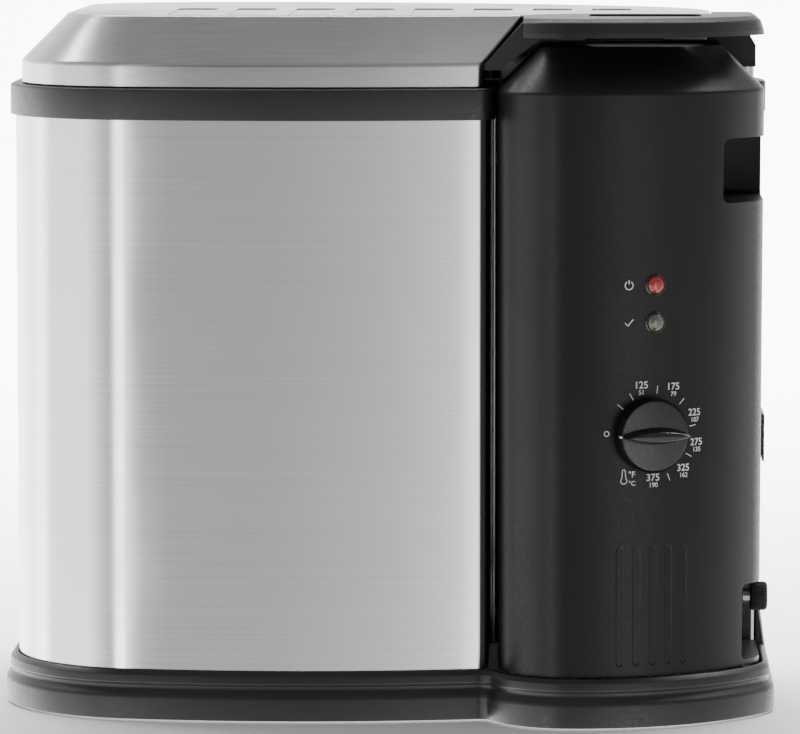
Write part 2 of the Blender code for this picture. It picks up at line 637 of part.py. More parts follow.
def controls():
    """Thermostat, its shaft, the knob, and the two lamps with their holders."""
    frame = on_face(KNOB_ANGLE, KNOB_HEIGHT)
    body = box_mesh((-0.017, -0.017, -0.034), (0.017, 0.017, -0.010))
    face_object("thermostat", body, frame, cream_plastic())
    shaft = turned_mesh([(0.003, -0.0094), (0.003, 0.0120)], 12)
    face_object("thermostat_shaft", shaft, frame, zinc())
    edge = KNOB_RADIUS
    profile = [(edge - 0.0006, 0.0026), (edge, 0.0034), (edge - 0.0004, 0.0068), (edge - 0.0030, 0.0088)]
    knob = face_object("thermostat_knob", turned_mesh(profile, 32), frame, gloss_black())
    grip = box_mesh((-edge + 0.001, -0.0042, 0.0040), (edge - 0.001, 0.0042, 0.0175))
    boolean(knob, face_object("knob_grip", grip, frame, helper=True), "UNION")
    socket = turned_mesh([(0.0033, 0.0), (0.0033, 0.0124)], 12)
    boolean(knob, face_object("knob_socket", socket, frame, helper=True))
    lenses = {
        "power_lamp": material("red_lens", (0.55, 0.02, 0.02), 0.12),
        "ready_lamp": material("clear_lens", (0.30, 0.33, 0.27), 0.12),
    }
    for name, height in LAMP_HEIGHTS.items():
        place = on_face(LAMP_ANGLE, height)
        dome = [(0.0040, -0.0060), (0.0040, 0.0006), (0.0056, 0.0006)]
        dome += [(0.0056, 0.0014), (0.0042, 0.0032), (0, 0.0040)]
        face_object(f"{name}_lens", turned_mesh(dome, 16), place, lenses[name])
        socket = turned_mesh([(0.0060, -0.0190), (0.0060, -0.0063)], 12)
        face_object(f"{name}_holder", socket, place, black_plastic())


def inlet():
    """The recessed socket for the pull-off power lead, with its three contacts, and the wires behind."""
    flange_out, flange_in, inner = HEAD_RIGHT + 0.0014, HEAD_RIGHT + 0.0003, 0.184
    socket = box("power_inlet", *inlet_box(inner, flange_out, 0.015, 0.010), gloss_black())
    flange = box("inlet_flange", *inlet_box(flange_in, flange_out, 0.018, 0.013), helper=True)
    boolean(socket, flange, "UNION")
    recess = inlet_box(HEAD_RIGHT - 0.006, 0.220, 0.0125, 0.0075)
    boolean(socket, box("inlet_recess", *recess, helper=True))
    along = (1, 0, 0)
    for i, offset in enumerate((-PIN_PITCH, 0.0, PIN_PITCH)):
        place = (inner - 0.004, INLET_Y + offset, INLET_HEIGHT)
        hole = rod(f"pin_hole_{i}", 0.0020, 0, 0.040, place=place, axis=along, sides=10, helper=True)
        boolean(socket, hole)
        rod(f"inlet_contact_{i + 1}", 0.0016, 0, 0.0235, finish=brass(), place=place, axis=along, sides=10)
    inside, terminals = inner - 0.0045, (0.1250, 0.1100, 0.0950)
    colours = {
        "live_wire": (0.02, 0.02, 0.02), "neutral_wire": (0.8, 0.8, 0.78), "earth_wire": (0.05, 0.3, 0.08),
    }
    for i, (name, colour) in enumerate(colours.items()):
        y, rise, end = INLET_Y + (i - 1) * PIN_PITCH, 0.1600 - i * 0.004, terminals[i]
        route = [(inside, y, INLET_HEIGHT), (rise, y, INLET_HEIGHT), (rise, INLET_Y, 0.255)]
        route += [(end, INLET_Y, 0.285), (end, -0.0560, 0.3060)]
        bent_bar(name, rounded_path(route, 0.015, 3), 0.0013, material(name, colour, 0.5), 6)


def element():
    """The bracket over the rim, the terminal block, and the heating element and probe in the pot."""
    inside, pot_side, sheet = HEAD_BACK - HEAD_WALL - 0.0035, BRACKET_BACK, BRACKET_SHEET
    top, low_head, low_pot = BRACKET_TOP, 0.290, 0.300
    corners = [
        (inside, low_head), (inside + sheet, low_head), (inside + sheet, top - sheet),
        (pot_side - sheet, top - sheet), (pot_side - sheet, low_pot), (pot_side, low_pot),
        (pot_side, top), (inside, top),
    ]
    bracket = extruded("element_bracket", corners, "YZ", BRACKET_LEFT, BRACKET_RIGHT, brushed_steel())
    bevel(bracket, 0.0006)
    left, right = 0.088, 0.132
    box("terminal_block", (left, inside - 0.0145, 0.308), (right, inside - GAP, 0.326), cream_plastic())
    x, z = RESET
    low, high = (x - 0.012, -0.062, z - 0.012), (x + 0.012, -0.0455, z + 0.012)
    box("limit_switch", low, high, cream_plastic())
    button = [(0.0042, -0.0042), (0.0042, -0.0030), (0.0030, -0.0030), (0.0030, 0.0006)]
    red = material("red_button", (0.5, 0.03, 0.02), 0.4)
    turned("reset_button", button + [(0.0026, 0.0010)], red, (x, HEAD_BACK, z), (0, 1, 0), 14)
    front, level, radius = pot_side + 0.0045, 0.060, 0.0035
    junction_low = 0.312
    low, high = (left, pot_side + GAP, junction_low), (right, pot_side + 0.0095, 0.337)
    junction = box("element_junction", low, high, brushed_steel())
    bevel(junction, 0.001)
    loop = [
        (0.122, 0.062), (-0.020, 0.120), (-0.155, 0.110), (-0.168, -0.085),
        (-0.110, -0.112), (0.014, -0.106), (0.016, 0.012), (0.098, 0.018),
    ]
    loop = [(x, y, level) for x, y in loop]
    for x, at in ((0.122, 0), (0.098, len(loop) + 2)):
        leg = [(x, front, junction_low - GAP), (x, front, level)]
        loop[at:at] = leg if at == 0 else leg[::-1]
    path = rounded_path(loop, 0.024, 4)
    sheath = material("element_sheath", (0.20, 0.19, 0.18), 0.45, 1.0)
    bent_bar("heating_element", path, radius, sheath, 8)
    probe = [(0.0022, 0.110), (0.0022, 0.240), (0.0012, 0.244), (0.0012, junction_low - GAP)]
    turned("thermostat_probe", probe, brushed_steel(), (0.110, front, 0), sides=10)


# ---------------------------------------------------------------- basket

def basket():
    """The basket, its two ears and the short bail that folds down inside it."""
    rim, wall = -BASKET_INSET, 0.002
    profile = [
        (rim - 0.010, BASKET_BOTTOM), (rim, BASKET_BOTTOM + 0.010), (rim, BASKET_TOP),
        (rim - wall, BASKET_TOP), (rim - wall, BASKET_BOTTOM + 0.011), (rim - 0.011, BASKET_BOTTOM + wall),
    ]
    plated = material("basket_wire", (0.75, 0.75, 0.74), 0.2, 1.0)
    loft("basket", housing_outline, profile, plated)
    for name, wall_y, inwards in (("front", basket_wall_y(-1), 1), ("rear", basket_wall_y(1), -1)):
        inner = sorted((wall_y + inwards * 0.0012, wall_y + inwards * 0.0036))
        low = (BAIL_X - 0.008, inner[0], BAIL_HEIGHT - 0.008)
        high = (BAIL_X + 0.008, inner[1], BAIL_HEIGHT + 0.008)
        ear = box(f"basket_ear_{name}", low, high, brushed_steel())
        place = (BAIL_X, wall_y, BAIL_HEIGHT)
        boolean(ear, rear_hole(f"ear_hole_{name}", BAIL_RADIUS + 0.0006, -0.01, 0.01, place, 12))
    front, rear = basket_wall_y(-1) + 0.0016, basket_wall_y(1) - 0.0016
    reach = BAIL_X - BAIL_ARM
    corners = [(BAIL_X, front), (BAIL_X, front + 0.008), (reach, front + 0.022)]
    corners += [(reach, rear - 0.022), (BAIL_X, rear - 0.008), (BAIL_X, rear)]
    route = [(x, y, BAIL_HEIGHT) for x, y in corners]
    middle = (BAIL_X, (front + rear) / 2, BAIL_HEIGHT)
    bent_bar("basket_bail", rounded_path(route, 0.010, 3), BAIL_RADIUS, polished_steel(), 8, origin=middle)


def basket_wall_y(side):
    """The inner face of the basket's front (-1) or rear (+1) wall at the bail."""
    inset = BASKET_INSET + 0.002
    ys = []
    outline = housing_outline(-inset)
    for (x0, y0), (x1, y1) in zip(outline, outline[1:] + outline[:1]):
        if (x0 - BAIL_X) * (x1 - BAIL_X) < 0:
            ys.append(y0 + (y1 - y0) * (BAIL_X - x0) / (x1 - x0))
    return min(ys) if side < 0 else max(ys)


# ---------------------------------------------------------------- lid

def lid_ring(rise, inset, over=0.0):
    """One ring of the lid: `rise` 0 at the shoulder and 1 at the top, moved in by `inset`."""
    still = -LID_INSET - inset
    return housing_outline(still - LID_SLOPE * rise, still + LEAN * rise, still + over)


def slope_share(height):
    """How far up the lid's slope a height lies, from 0 at the shoulder to 1 at the top."""
    return (height - LID_SHOULDER) / LID_SLOPE


def lid_shell():
    """The pressed lid: an upright skirt, sloped sides, and a flat top that reaches over the roof."""
    over, under, edge = NOTCH_Y - ROOF_REAR + LID_INSET, LID_TOP - SHEET, LID_TOP - 0.0010
    step = LID_TOP - 0.0016  # where the slope ends under the sheet that covers the roof
    rings = [
        (lid_ring(slope_share(under), SHEET), under), (lid_ring(0, SHEET), LID_SHOULDER - SHEET / 2),
        (lid_ring(0, SHEET), LID_BOTTOM), (lid_ring(0, 0), LID_BOTTOM), (lid_ring(0, 0), LID_SHOULDER),
        (lid_ring(slope_share(step), 0), step), (lid_ring(slope_share(edge), 0, over), edge),
        (lid_ring(1, 0, over), LID_TOP),
    ]
    shell = object_of("lid_shell", loft_mesh(rings), brushed_steel())
    for i, (low, high) in enumerate(grille_rectangles()):
        cutter = box(f"grille_cut_{i}", (*low, LID_TOP - 0.003), (*high, LID_TOP + 0.003), helper=True)
        boolean(shell, cutter).modifiers[-1].solver = "MANIFOLD"
    low, high = (BRACKET_LEFT - 0.004, -0.040, 0.340), (BRACKET_RIGHT + 0.004, -0.025, BRACKET_TOP + 0.0025)
    boolean(shell, box("bracket_passage", low, high, helper=True))
    for i, (x, z) in enumerate(handle_screw_places()):
        place = (x, NOTCH_Y + LID_INSET, z)
        boolean(shell, rear_hole(f"lid_screw_hole_{i}", 0.0021, -0.005, 0.006, place, 10))
    return shell


def grille_rectangles():
    """The grille's two overlapping rectangles, as low and high corners in plan."""
    low, high = GRILLE
    wing_right, wing_front = GRILLE_WING
    return [(low, high), ((low[0], wing_front), (wing_right, high[1]))]


def vent_grille():
    """The slotted plate set in the lid's top, deeper at the left of the handle."""
    border, plates = 0.0028, []
    for (left, front), (right, rear) in grille_rectangles():
        plates.append(((left + GAP, front + GAP, LID_TOP - SHEET), (right - GAP, rear - GAP, LID_TOP)))
    plate = box("vent_grille", *plates[0], brushed_steel())
    boolean(plate, box("grille_wing", *plates[1], brushed_steel(), helper=True), "UNION")
    (left, front), (right, rear) = GRILLE
    wing_right, wing_front = GRILLE_WING
    slots = bmesh.new()
    first = (left + right) / 2 - SLOT_PITCH * (GRILLE_SLOTS - 1) / 2
    for i in range(GRILLE_SLOTS):
        x = first + SLOT_PITCH * i
        near = border + (wing_front if x + SLOT_WIDTH / 2 < wing_right else front)
        middle = Vector((x, (near + rear - border) / 2, LID_TOP))
        size = Vector((SLOT_WIDTH, rear - border - near, 0.02))
        made = bmesh.ops.create_cube(slots, size=1.0)["verts"]
        bmesh.ops.scale(slots, vec=size, verts=made)
        bmesh.ops.translate(slots, vec=middle, verts=made)
    return boolean(plate, object_of("grille_slots", slots, helper=True))


def handle_screw_places():
    return [(0.086, 0.3755), (0.165, 0.3755)]


def lid_handle():
    """The black handle: a hollow roof over the control head with a finger opening, and two webs."""
    profile = [(0.0, ROOF_BOTTOM), (-0.0004, 0.3750), (-0.0022, 0.3802), (-0.0060, LID_TOP)]
    rings = [(head_outline(grow, ROOF_BACK), height) for grow, height in profile]
    handle = object_of("lid_handle", loft_mesh(rings), black_plastic())
    hollow = head_outline(-ROOF_WALL, ROOF_BACK - ROOF_WALL)
    rings = [(hollow, ROOF_BOTTOM - 0.01), (hollow, LID_TOP - 0.0045)]
    inside = object_of("handle_hollow", loft_mesh(rings), helper=True)
    (left, front), (right, rear), rim = *FINGER, 0.0025
    low, high = (left - rim, front - rim, ROOF_BOTTOM - rim), (right + rim, rear + rim, LID_TOP - 0.0010)
    collar = box("finger_collar", low, high, helper=True)
    boolean(handle, inside)
    boolean(handle, collar, "UNION")
    boolean(handle, box("finger_hole", (left, front, 0.36), (right, rear, 0.39), helper=True))
    sheet_edge = lid_ring(1, -0.0032, NOTCH_Y - ROOF_REAR + LID_INSET)
    step = loft_mesh([(sheet_edge, LID_TOP - 0.0021), (sheet_edge, LID_TOP + 0.01)])
    boolean(handle, object_of("roof_step", step, helper=True))
    side = NOTCH_X - LID_INSET
    foot, head = side + 0.0008, side + LEAN + 0.0006
    boolean(handle, box("handle_left_trim", (0.04, -0.18, 0.36), (head, 0, 0.39), helper=True))
    web = [(foot, LID_SHOULDER), (foot, 0.3535), (foot + 0.0095, 0.3535), (foot + 0.0110, 0.3560)]
    web += [(head + 0.0105, 0.3715), (head + 0.0105, 0.3800), (head, 0.3800)]
    boolean(handle, extruded("left_web", web, "XZ", -0.1260, -0.0380, helper=True), "UNION")
    end = [(0.150, 0.3745), (0.150, 0.3520), (0.2035, 0.3520), (0.2035, 0.3640), (0.1975, 0.3745)]
    boolean(handle, extruded("right_web", end, "XZ", -0.0377, -0.0330, helper=True), "UNION")
    under, room = LID_TOP - 0.0016, -0.0005
    rings = [(lid_ring(0, room), 0.350), (lid_ring(0, room), LID_SHOULDER)]
    rings += [(lid_ring(slope_share(under), room), under)]
    boolean(handle, object_of("lid_room", loft_mesh(rings), helper=True))
    for i, (x, z) in enumerate(handle_screw_places()):
        boolean(handle, rear_hole(f"handle_bore_{i}", 0.0016, -0.012, 0.004, (x, NOTCH_Y, z), 8))
    return handle


def handle_screws():
    inner = NOTCH_Y + LID_INSET + SHEET
    profile = [(0.0012, -0.0085), (0.0012, GAP), (0.0034, GAP), (0.0030, 0.0018)]
    for i, (x, z) in enumerate(handle_screw_places()):
        turned(f"handle_screw_{i + 1}", profile, zinc(), (x, inner, z), (0, 1, 0), 12)


# ---------------------------------------------------------------- build

def clear_scene():
    for obj in list(bpy.data.objects):
        bpy.data.objects.remove(obj, do_unlink=True)


def main():
    clear_scene()
    base_plinth()
    bottom_plate()
    base_screws()
    feet()
    outer_wrap()
    top_band()
    inner_pot()
    drain()
    head_shell()
    back_cover()
    cover_screws()
    controls()
    inlet()
    element()
    basket()
    lid_shell()
    vent_grille()
    lid_handle()
    handle_screws()
    for obj in bpy.data.objects:
        obj.location.y += SETBACK


main()
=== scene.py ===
"""The looks of the indoor turkey fryer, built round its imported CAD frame. Metres, in the frame's axes."""

from math import asin, atan2, cos, degrees, pi, radians, sin, sqrt, tan

import bmesh
import bpy
import numpy as np
from mathutils import Matrix, Vector


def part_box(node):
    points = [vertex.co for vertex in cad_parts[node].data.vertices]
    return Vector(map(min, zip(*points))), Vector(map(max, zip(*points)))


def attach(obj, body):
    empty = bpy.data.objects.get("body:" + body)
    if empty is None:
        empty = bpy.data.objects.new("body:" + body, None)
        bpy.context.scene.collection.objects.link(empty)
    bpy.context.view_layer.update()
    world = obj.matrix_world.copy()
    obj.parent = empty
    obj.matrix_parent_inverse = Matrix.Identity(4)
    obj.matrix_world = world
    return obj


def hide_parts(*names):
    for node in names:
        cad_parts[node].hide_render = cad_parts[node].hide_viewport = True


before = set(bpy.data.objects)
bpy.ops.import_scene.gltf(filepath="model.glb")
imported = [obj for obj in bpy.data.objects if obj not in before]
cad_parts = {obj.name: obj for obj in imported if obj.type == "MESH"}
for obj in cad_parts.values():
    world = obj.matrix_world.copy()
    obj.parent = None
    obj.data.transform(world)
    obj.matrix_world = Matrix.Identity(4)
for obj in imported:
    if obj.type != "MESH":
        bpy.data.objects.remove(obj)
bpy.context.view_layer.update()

# ---------------------------------------------------------------- the plan, from the frame

WALL_LOW, WALL_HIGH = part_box("outer_wrap")
HEAD_LOW, HEAD_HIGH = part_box("head_shell")
BAND_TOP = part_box("top_band")[1].z
LID_LOW, LID_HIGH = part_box("lid_shell")

SIDE_ROUND, RIGHT_ROUND = 0.080, 0.135
FRONT_QUARTER, REAR_QUARTER, RIGHT_QUARTER = 0.0862, 0.086, 0.183
FRONT_APEX_X, REAR_APEX_X = -0.056, -0.069
NOTCH_X = HEAD_LOW.x - 0.0040
NOTCH_Y = HEAD_HIGH.y + 0.0040
NOTCH_ROUND, NOTCH_INNER_ROUND = 0.008, 0.006
HEAD_LEFT_ROUND, HEAD_FRONT_ROUND, HEAD_RIGHT_ROUND, HEAD_BACK_ROUND = 0.040, 0.120, 0.030, 0.004
FACE_CENTRE = Vector((HEAD_LOW.x + HEAD_LEFT_ROUND, HEAD_LOW.y + HEAD_FRONT_ROUND, 0))
HEAD_SHOULDER, HEAD_SLOPE = 0.3425, 0.024
LID_INSET, LID_SLOPE, LID_SHOULDER, LID_LEAN = 0.0035, 0.0255, 0.357, 0.0215
KNOB_ANGLE, LAMP_ANGLE = 20.9, 22.5
KNOB_HEIGHT, KNOB_RADIUS = 0.1592, 0.0202
LAMP_HEIGHTS = {"power": 0.2398, "ready": 0.2195}
SYMBOL_TURN = 7.2  # degrees from a lamp to its symbol


# ---------------------------------------------------------------- outlines seen from above

def arc(centre, radius, start, end, steps):
    turns = np.radians(np.linspace(start, end, steps + 1))
    return np.stack([centre[0] + radius * np.cos(turns), centre[1] + radius * np.sin(turns)], 1)


def oval_quarter(half_x, half_y, corner):
    """A quarter outline of a tight arc and a flatter one: the flatter radius, and the join's angle."""
    a, b = half_x - corner, half_y - corner
    extra = (a * a + b * b) / (2 * b)
    return corner + extra, degrees(atan2(extra - b, a))


def rear_and_left(grow):
    """Up the right side, round the rear and down the left side, with the front curve's arc."""
    left, right, front_y, rear_y = WALL_LOW.x, WALL_HIGH.x, WALL_LOW.y, WALL_HIGH.y
    flat_right, join_right = oval_quarter(right - REAR_APEX_X, RIGHT_QUARTER, RIGHT_ROUND)
    flat_left, join_left = oval_quarter(REAR_APEX_X - left, REAR_QUARTER, SIDE_ROUND)
    front, join_front = oval_quarter(FRONT_APEX_X - left, FRONT_QUARTER, SIDE_ROUND)
    parts = [
        arc((right - RIGHT_ROUND, rear_y - RIGHT_QUARTER), RIGHT_ROUND + grow, 0, join_right, 16),
        arc((REAR_APEX_X, rear_y - flat_right), flat_right + grow, join_right, 90, 16)[1:],
        arc((REAR_APEX_X, rear_y - flat_left), flat_left + grow, 90, 180 - join_left, 8)[1:],
        arc((left + SIDE_ROUND, rear_y - REAR_QUARTER), SIDE_ROUND + grow, 180 - join_left, 180, 20)[1:],
        arc((left + SIDE_ROUND, front_y + FRONT_QUARTER), SIDE_ROUND + grow, 180, 180 + join_front, 20),
    ]
    return parts, (FRONT_APEX_X, front_y + front), front, 180 + join_front


def housing_outline(grow=0.0, notch_x=None, notch_y=None):
    """The housing's outline moved out by `grow`, and its notch's two walls by their own amounts."""
    notch_x = grow if notch_x is None else notch_x
    notch_y = grow if notch_y is None else notch_y
    parts, centre, front, start = rear_and_left(grow)
    round_out = max(NOTCH_ROUND + grow, 0.003)
    corner_x = NOTCH_X + notch_x - round_out
    reach = front + grow - round_out
    corner_y = centre[1] - sqrt(reach ** 2 - (corner_x - centre[0]) ** 2)
    turn = degrees(asin((corner_x - centre[0]) / reach)) - 90
    parts.append(arc(centre, front + grow, start, 360 + turn, 18)[1:])
    parts.append(arc((corner_x, corner_y), round_out, turn, 0, 10)[1:])
    round_in = max(NOTCH_INNER_ROUND - grow, 0.002)
    parts.append(arc((NOTCH_X + notch_x + round_in, NOTCH_Y - notch_y - round_in), round_in, 180, 90, 6))
    right = (WALL_HIGH.x + grow - round_out, NOTCH_Y - notch_y + round_out)
    parts.append(arc(right, round_out, -90, 0, 8))
    return np.concatenate(parts)


def circles_meet(first, first_radius, second, second_radius):
    """The lower of the two points where two circles cross."""
    across = Vector(second) - Vector(first)
    along = (first_radius ** 2 - second_radius ** 2 + across.length_squared) / (2 * across.length)
    side = sqrt(first_radius ** 2 - along ** 2)
    ahead = across.normalized()
    options = [Vector(first) + ahead * along + Vector((-ahead.y, ahead.x)) * s for s in (side, -side)]
    return min(options, key=lambda p: p.y)


def head_front_right(grow):
    """The control head's long front curve and its right front corner."""
    face = (FACE_CENTRE.x, FACE_CENTRE.y)
    corner_x = HEAD_HIGH.x - HEAD_RIGHT_ROUND
    reach = HEAD_FRONT_ROUND - HEAD_RIGHT_ROUND
    corner_y = face[1] - sqrt(reach ** 2 - (corner_x - face[0]) ** 2)
    join = degrees(atan2(corner_y - face[1], corner_x - face[0]))
    return [arc(face, HEAD_FRONT_ROUND + grow, -90, join, 24)[1:],
            arc((corner_x, corner_y), HEAD_RIGHT_ROUND + grow, join, 0, 12)[1:]]


def head_outline(grow=0.0, back=None):
    back = HEAD_HIGH.y if back is None else back
    round_back = max(HEAD_BACK_ROUND + min(grow, 0), 0.001)
    left, right = HEAD_LOW.x - grow + round_back, HEAD_HIGH.x + grow - round_back
    corner = (HEAD_LOW.x + HEAD_LEFT_ROUND, HEAD_LOW.y + HEAD_LEFT_ROUND)
    parts = [arc((right, back - round_back), round_back, 0, 90, 4)]
    parts.append(arc((left, back - round_back), round_back, 90, 180, 4))
    parts.append(arc(corner, HEAD_LEFT_ROUND + grow, 180, 270, 18))
    return np.concatenate(parts + head_front_right(grow))


def base_outline(grow=0.0):
    """The outline round the housing and the control head together."""
    parts, centre, front, start = rear_and_left(grow)
    corner = (HEAD_LOW.x + HEAD_LEFT_ROUND, HEAD_LOW.y + HEAD_LEFT_ROUND)
    blend = 0.014  # radius of the hollow between them
    hollow = circles_meet(centre, front + blend, corner, HEAD_LEFT_ROUND + blend)
    leave = degrees(atan2(hollow.y - centre[1], hollow.x - centre[0]))
    arrive = degrees(atan2(hollow.y - corner[1], hollow.x - corner[0]))
    parts.append(arc(centre, front + grow, start, 360 + leave, 18)[1:])
    parts.append(arc(hollow, blend - grow, leave + 180, arrive + 180, 8)[1:])
    parts.append(arc(corner, HEAD_LEFT_ROUND + grow, arrive, -90, 12)[1:])
    return np.concatenate(parts + head_front_right(grow))


# ---------------------------------------------------------------- mesh tools

def softened(profile, radius, steps=4, closed=False):
    """A profile of (grow, height) pairs with its corners rounded by about `radius`, or by a third value."""
    count = len(profile)
    points = []
    for i, entry in enumerate(profile):
        corner = Vector(entry[:2])
        size = entry[2] if len(entry) > 2 else radius
        if size == 0 or (not closed and i in (0, count - 1)):
            points.append(tuple(corner))
            continue
        back = Vector(profile[i - 1][:2]) - corner
        ahead = Vector(profile[(i + 1) % count][:2]) - corner
        half = back.angle(ahead) / 2
        reach = min(size / tan(half) if half > 0.01 else size, back.length * 0.48, ahead.length * 0.48)
        start, end = corner + back.normalized() * reach, corner + ahead.normalized() * reach
        for j in range(steps + 1):
            t = j / steps
            points.append(tuple((1 - t) ** 2 * start + 2 * t * (1 - t) * corner + t * t * end))
    return points


def mesh_object(name, points, faces, finish=None, sharp=35):
    mesh = bpy.data.meshes.new(name)
    mesh.from_pydata([tuple(p) for p in points], [], faces)
    bm = bmesh.new()
    bm.from_mesh(mesh)
    bmesh.ops.recalc_face_normals(bm, faces=bm.faces)
    bm.to_mesh(mesh)
    bm.free()
    return shaded(name, mesh, finish, sharp)


def shaded(name, mesh, finish, sharp=35):
    mesh.shade_smooth()
    mesh.set_sharp_from_angle(angle=radians(sharp))
    obj = bpy.data.objects.new(name, mesh)
    bpy.context.scene.collection.objects.link(obj)
    if finish:
        mesh.materials.append(finish)
    return obj


def ring_faces(layers, count, closed):
    faces = []
    spans = layers if closed else layers - 1
    for k in range(spans):
        low, high = k * count, ((k + 1) % layers) * count
        faces += [(low + i, low + (i + 1) % count, high + (i + 1) % count, high + i) for i in range(count)]
    return faces


def loft_rings(name, rings, finish=None, hoop=False, sharp=35):
    """A solid through (outline, height) rings: capped at both ends, or closed into a hoop."""
    count = len(rings[0][0])
    points = np.concatenate([np.column_stack([outline, np.full(count, height)]) for outline, height in rings])
    faces = ring_faces(len(rings), count, hoop)
    if not hoop:
        faces.append(tuple(range(count)))
        faces.append(tuple((len(rings) - 1) * count + i for i in range(count)))
    return mesh_object(name, points, faces, finish, sharp)


def loft(name, outline, profile, finish=None, hoop=False, sharp=35):
    return loft_rings(name, [(outline(grow), height) for grow, height in profile], finish, hoop, sharp)


def turned(name, profile, finish=None, place=(0, 0, 0), axis=(0, 0, 1), sides=48, hoop=False, sharp=35):
    """A turned piece from (radius, height) pairs along `axis`."""
    turns = np.arange(sides) * 2 * pi / sides
    points, faces, rings = [], [], []
    for radius, height in profile:
        if radius <= 0:
            rings.append([len(points)])
            points.append((0, 0, height))
            continue
        rings.append(list(range(len(points), len(points) + sides)))
        points += [(radius * cos(t), radius * sin(t), height) for t in turns]
    pairs = list(zip(rings, rings[1:])) + ([(rings[-1], rings[0])] if hoop else [])
    for low, high in pairs:
        for i in range(sides):
            j = (i + 1) % sides
            corners = [low[i % len(low)], low[j % len(low)], high[j % len(high)], high[i % len(high)]]
            faces.append(tuple(dict.fromkeys(corners)))
    if not hoop:
        faces += [tuple(ring) for ring in (rings[0], rings[-1]) if len(ring) > 1]
    turn = Vector((0, 0, 1)).rotation_difference(Vector(axis)).to_matrix()
    points = [turn @ Vector(p) + Vector(place) for p in points]
    return mesh_object(name, points, faces, finish, sharp)


def swept(name, path, radius, finish=None, sides=12, closed=False, bore=0.0, sharp=40):
    """A round bar along the path's points; `closed` joins its ends; `bore` makes it a pipe."""
    path = [Vector(p) for p in path]
    count = len(path)
    tangents = []
    for i in range(count):
        before, after = path[i - 1], path[(i + 1) % count]
        if not closed:
            before, after = path[max(i - 1, 0)], path[min(i + 1, count - 1)]
        tangents.append((after - before).normalized())
    side = tangents[0].orthogonal().normalized()
    turns = [2 * pi * i / sides for i in range(sides)]
    frames = []
    for place, tangent in zip(path, tangents):
        side = (side - tangent * side.dot(tangent)).normalized()
        frames.append((place, side, tangent.cross(side)))

    def ring(size, frames):
        return [p + (a * cos(t) + b * sin(t)) * size for p, a, b in frames for t in turns]

    points = ring(radius, frames)
    layers = count
    if bore:
        points += ring(bore, frames[::-1])
        layers *= 2
    faces = ring_faces(layers, sides, closed or bool(bore))
    if not closed and not bore:
        faces += [tuple(range(sides)), tuple((layers - 1) * sides + i for i in range(sides))]
    return mesh_object(name, points, faces, finish, sharp)


def rounded_path(corners, radius, steps=8):
    corners = [Vector(c) for c in corners]
    points = [corners[0]]
    for before, corner, after in zip(corners, corners[1:], corners[2:]):
        back, ahead = before - corner, after - corner
        reach = min(radius, back.length / 2.01, ahead.length / 2.01)
        start, end = corner + back.normalized() * reach, corner + ahead.normalized() * reach
        for i in range(steps + 1):
            t = i / steps
            points.append((1 - t) ** 2 * start + 2 * t * (1 - t) * corner + t * t * end)
    return points + [corners[-1]]


def block(name, low, high, finish=None, round_edges=0.0, segments=3):
    """A box between two corners with rounded edges."""
    bm = bmesh.new()
    bmesh.ops.create_cube(bm, size=1.0)
    size = [b - a for a, b in zip(low, high)]
    bmesh.ops.scale(bm, vec=size, verts=bm.verts)
    bmesh.ops.translate(bm, vec=[(a + b) / 2 for a, b in zip(low, high)], verts=bm.verts)
    if round_edges:
        bmesh.ops.bevel(bm, geom=list(bm.edges), offset=round_edges, segments=segments, affect="EDGES",
                        profile=0.5)
    mesh = bpy.data.meshes.new(name)
    bm.to_mesh(mesh)
    bm.free()
    return shaded(name, mesh, finish)


def joined(name, pieces, finish=None):
    """One object from several, keeping their places and, unless `finish` is given, their materials."""
    bm = bmesh.new()
    slots = []
    for piece in pieces:
        mine = list(piece.data.materials)
        start = len(bm.faces)
        bm.from_mesh(piece.data)
        bm.faces.ensure_lookup_table()
        moved = {v for face in bm.faces[start:] for v in face.verts}
        bmesh.ops.transform(bm, matrix=piece.matrix_world, verts=list(moved))
        if not finish:
            for face in bm.faces[start:]:
                wanted = mine[face.material_index] if mine else None
                if wanted not in slots:
                    slots.append(wanted)
                face.material_index = slots.index(wanted)
    mesh = bpy.data.meshes.new(name)
    bm.to_mesh(mesh)
    bm.free()
    for piece in pieces:
        bpy.data.objects.remove(piece)
    obj = bpy.data.objects.new(name, mesh)
    bpy.context.scene.collection.objects.link(obj)
    for wanted in [finish] if finish else slots:
        mesh.materials.append(wanted)
    return obj


def cut(obj, *cutters, operation="DIFFERENCE"):
    """Applies Booleans with each cutter in turn, removes the cutters, and shades the result again."""
    for cutter in cutters:
        step = obj.modifiers.new("cut", "BOOLEAN")
        step.object = cutter
        step.operation = operation
    return baked(obj, cutters)


def baked(obj, helpers=(), sharp=35):
    """Applies the object's modifiers."""
    graph = bpy.context.evaluated_depsgraph_get()
    mesh = bpy.data.meshes.new_from_object(obj.evaluated_get(graph))
    old, obj.data = obj.data, mesh
    obj.modifiers.clear()
    bpy.data.meshes.remove(old)
    for helper in helpers:
        bpy.data.objects.remove(helper)
    mesh.shade_smooth()
    mesh.set_sharp_from_angle(angle=radians(sharp))
    return obj


def on_face(angle, height, out=0.0):
    """The frame of a point on the control face: X to the right, Y up, Z outwards."""
    turn = radians(angle)
    outwards = Vector((sin(turn), -cos(turn), 0))
    place = FACE_CENTRE + outwards * (HEAD_FRONT_ROUND + out) + Vector((0, 0, height))
    made = Matrix.Identity(4)
    for column, axis in enumerate((Vector((cos(turn), sin(turn), 0)), Vector((0, 0, 1)), outwards)):
        made.col[column].xyz = axis
    made.translation = place
    return made


def placed(obj, matrix):
    obj.data.transform(matrix)
    return obj


def keep(piece, body, slot, *nodes):
    """The piece rides on a body and stands for the CAD nodes, which it hides. The slot is not used."""
    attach(piece, body)
    if nodes:
        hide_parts(*nodes)
    return piece


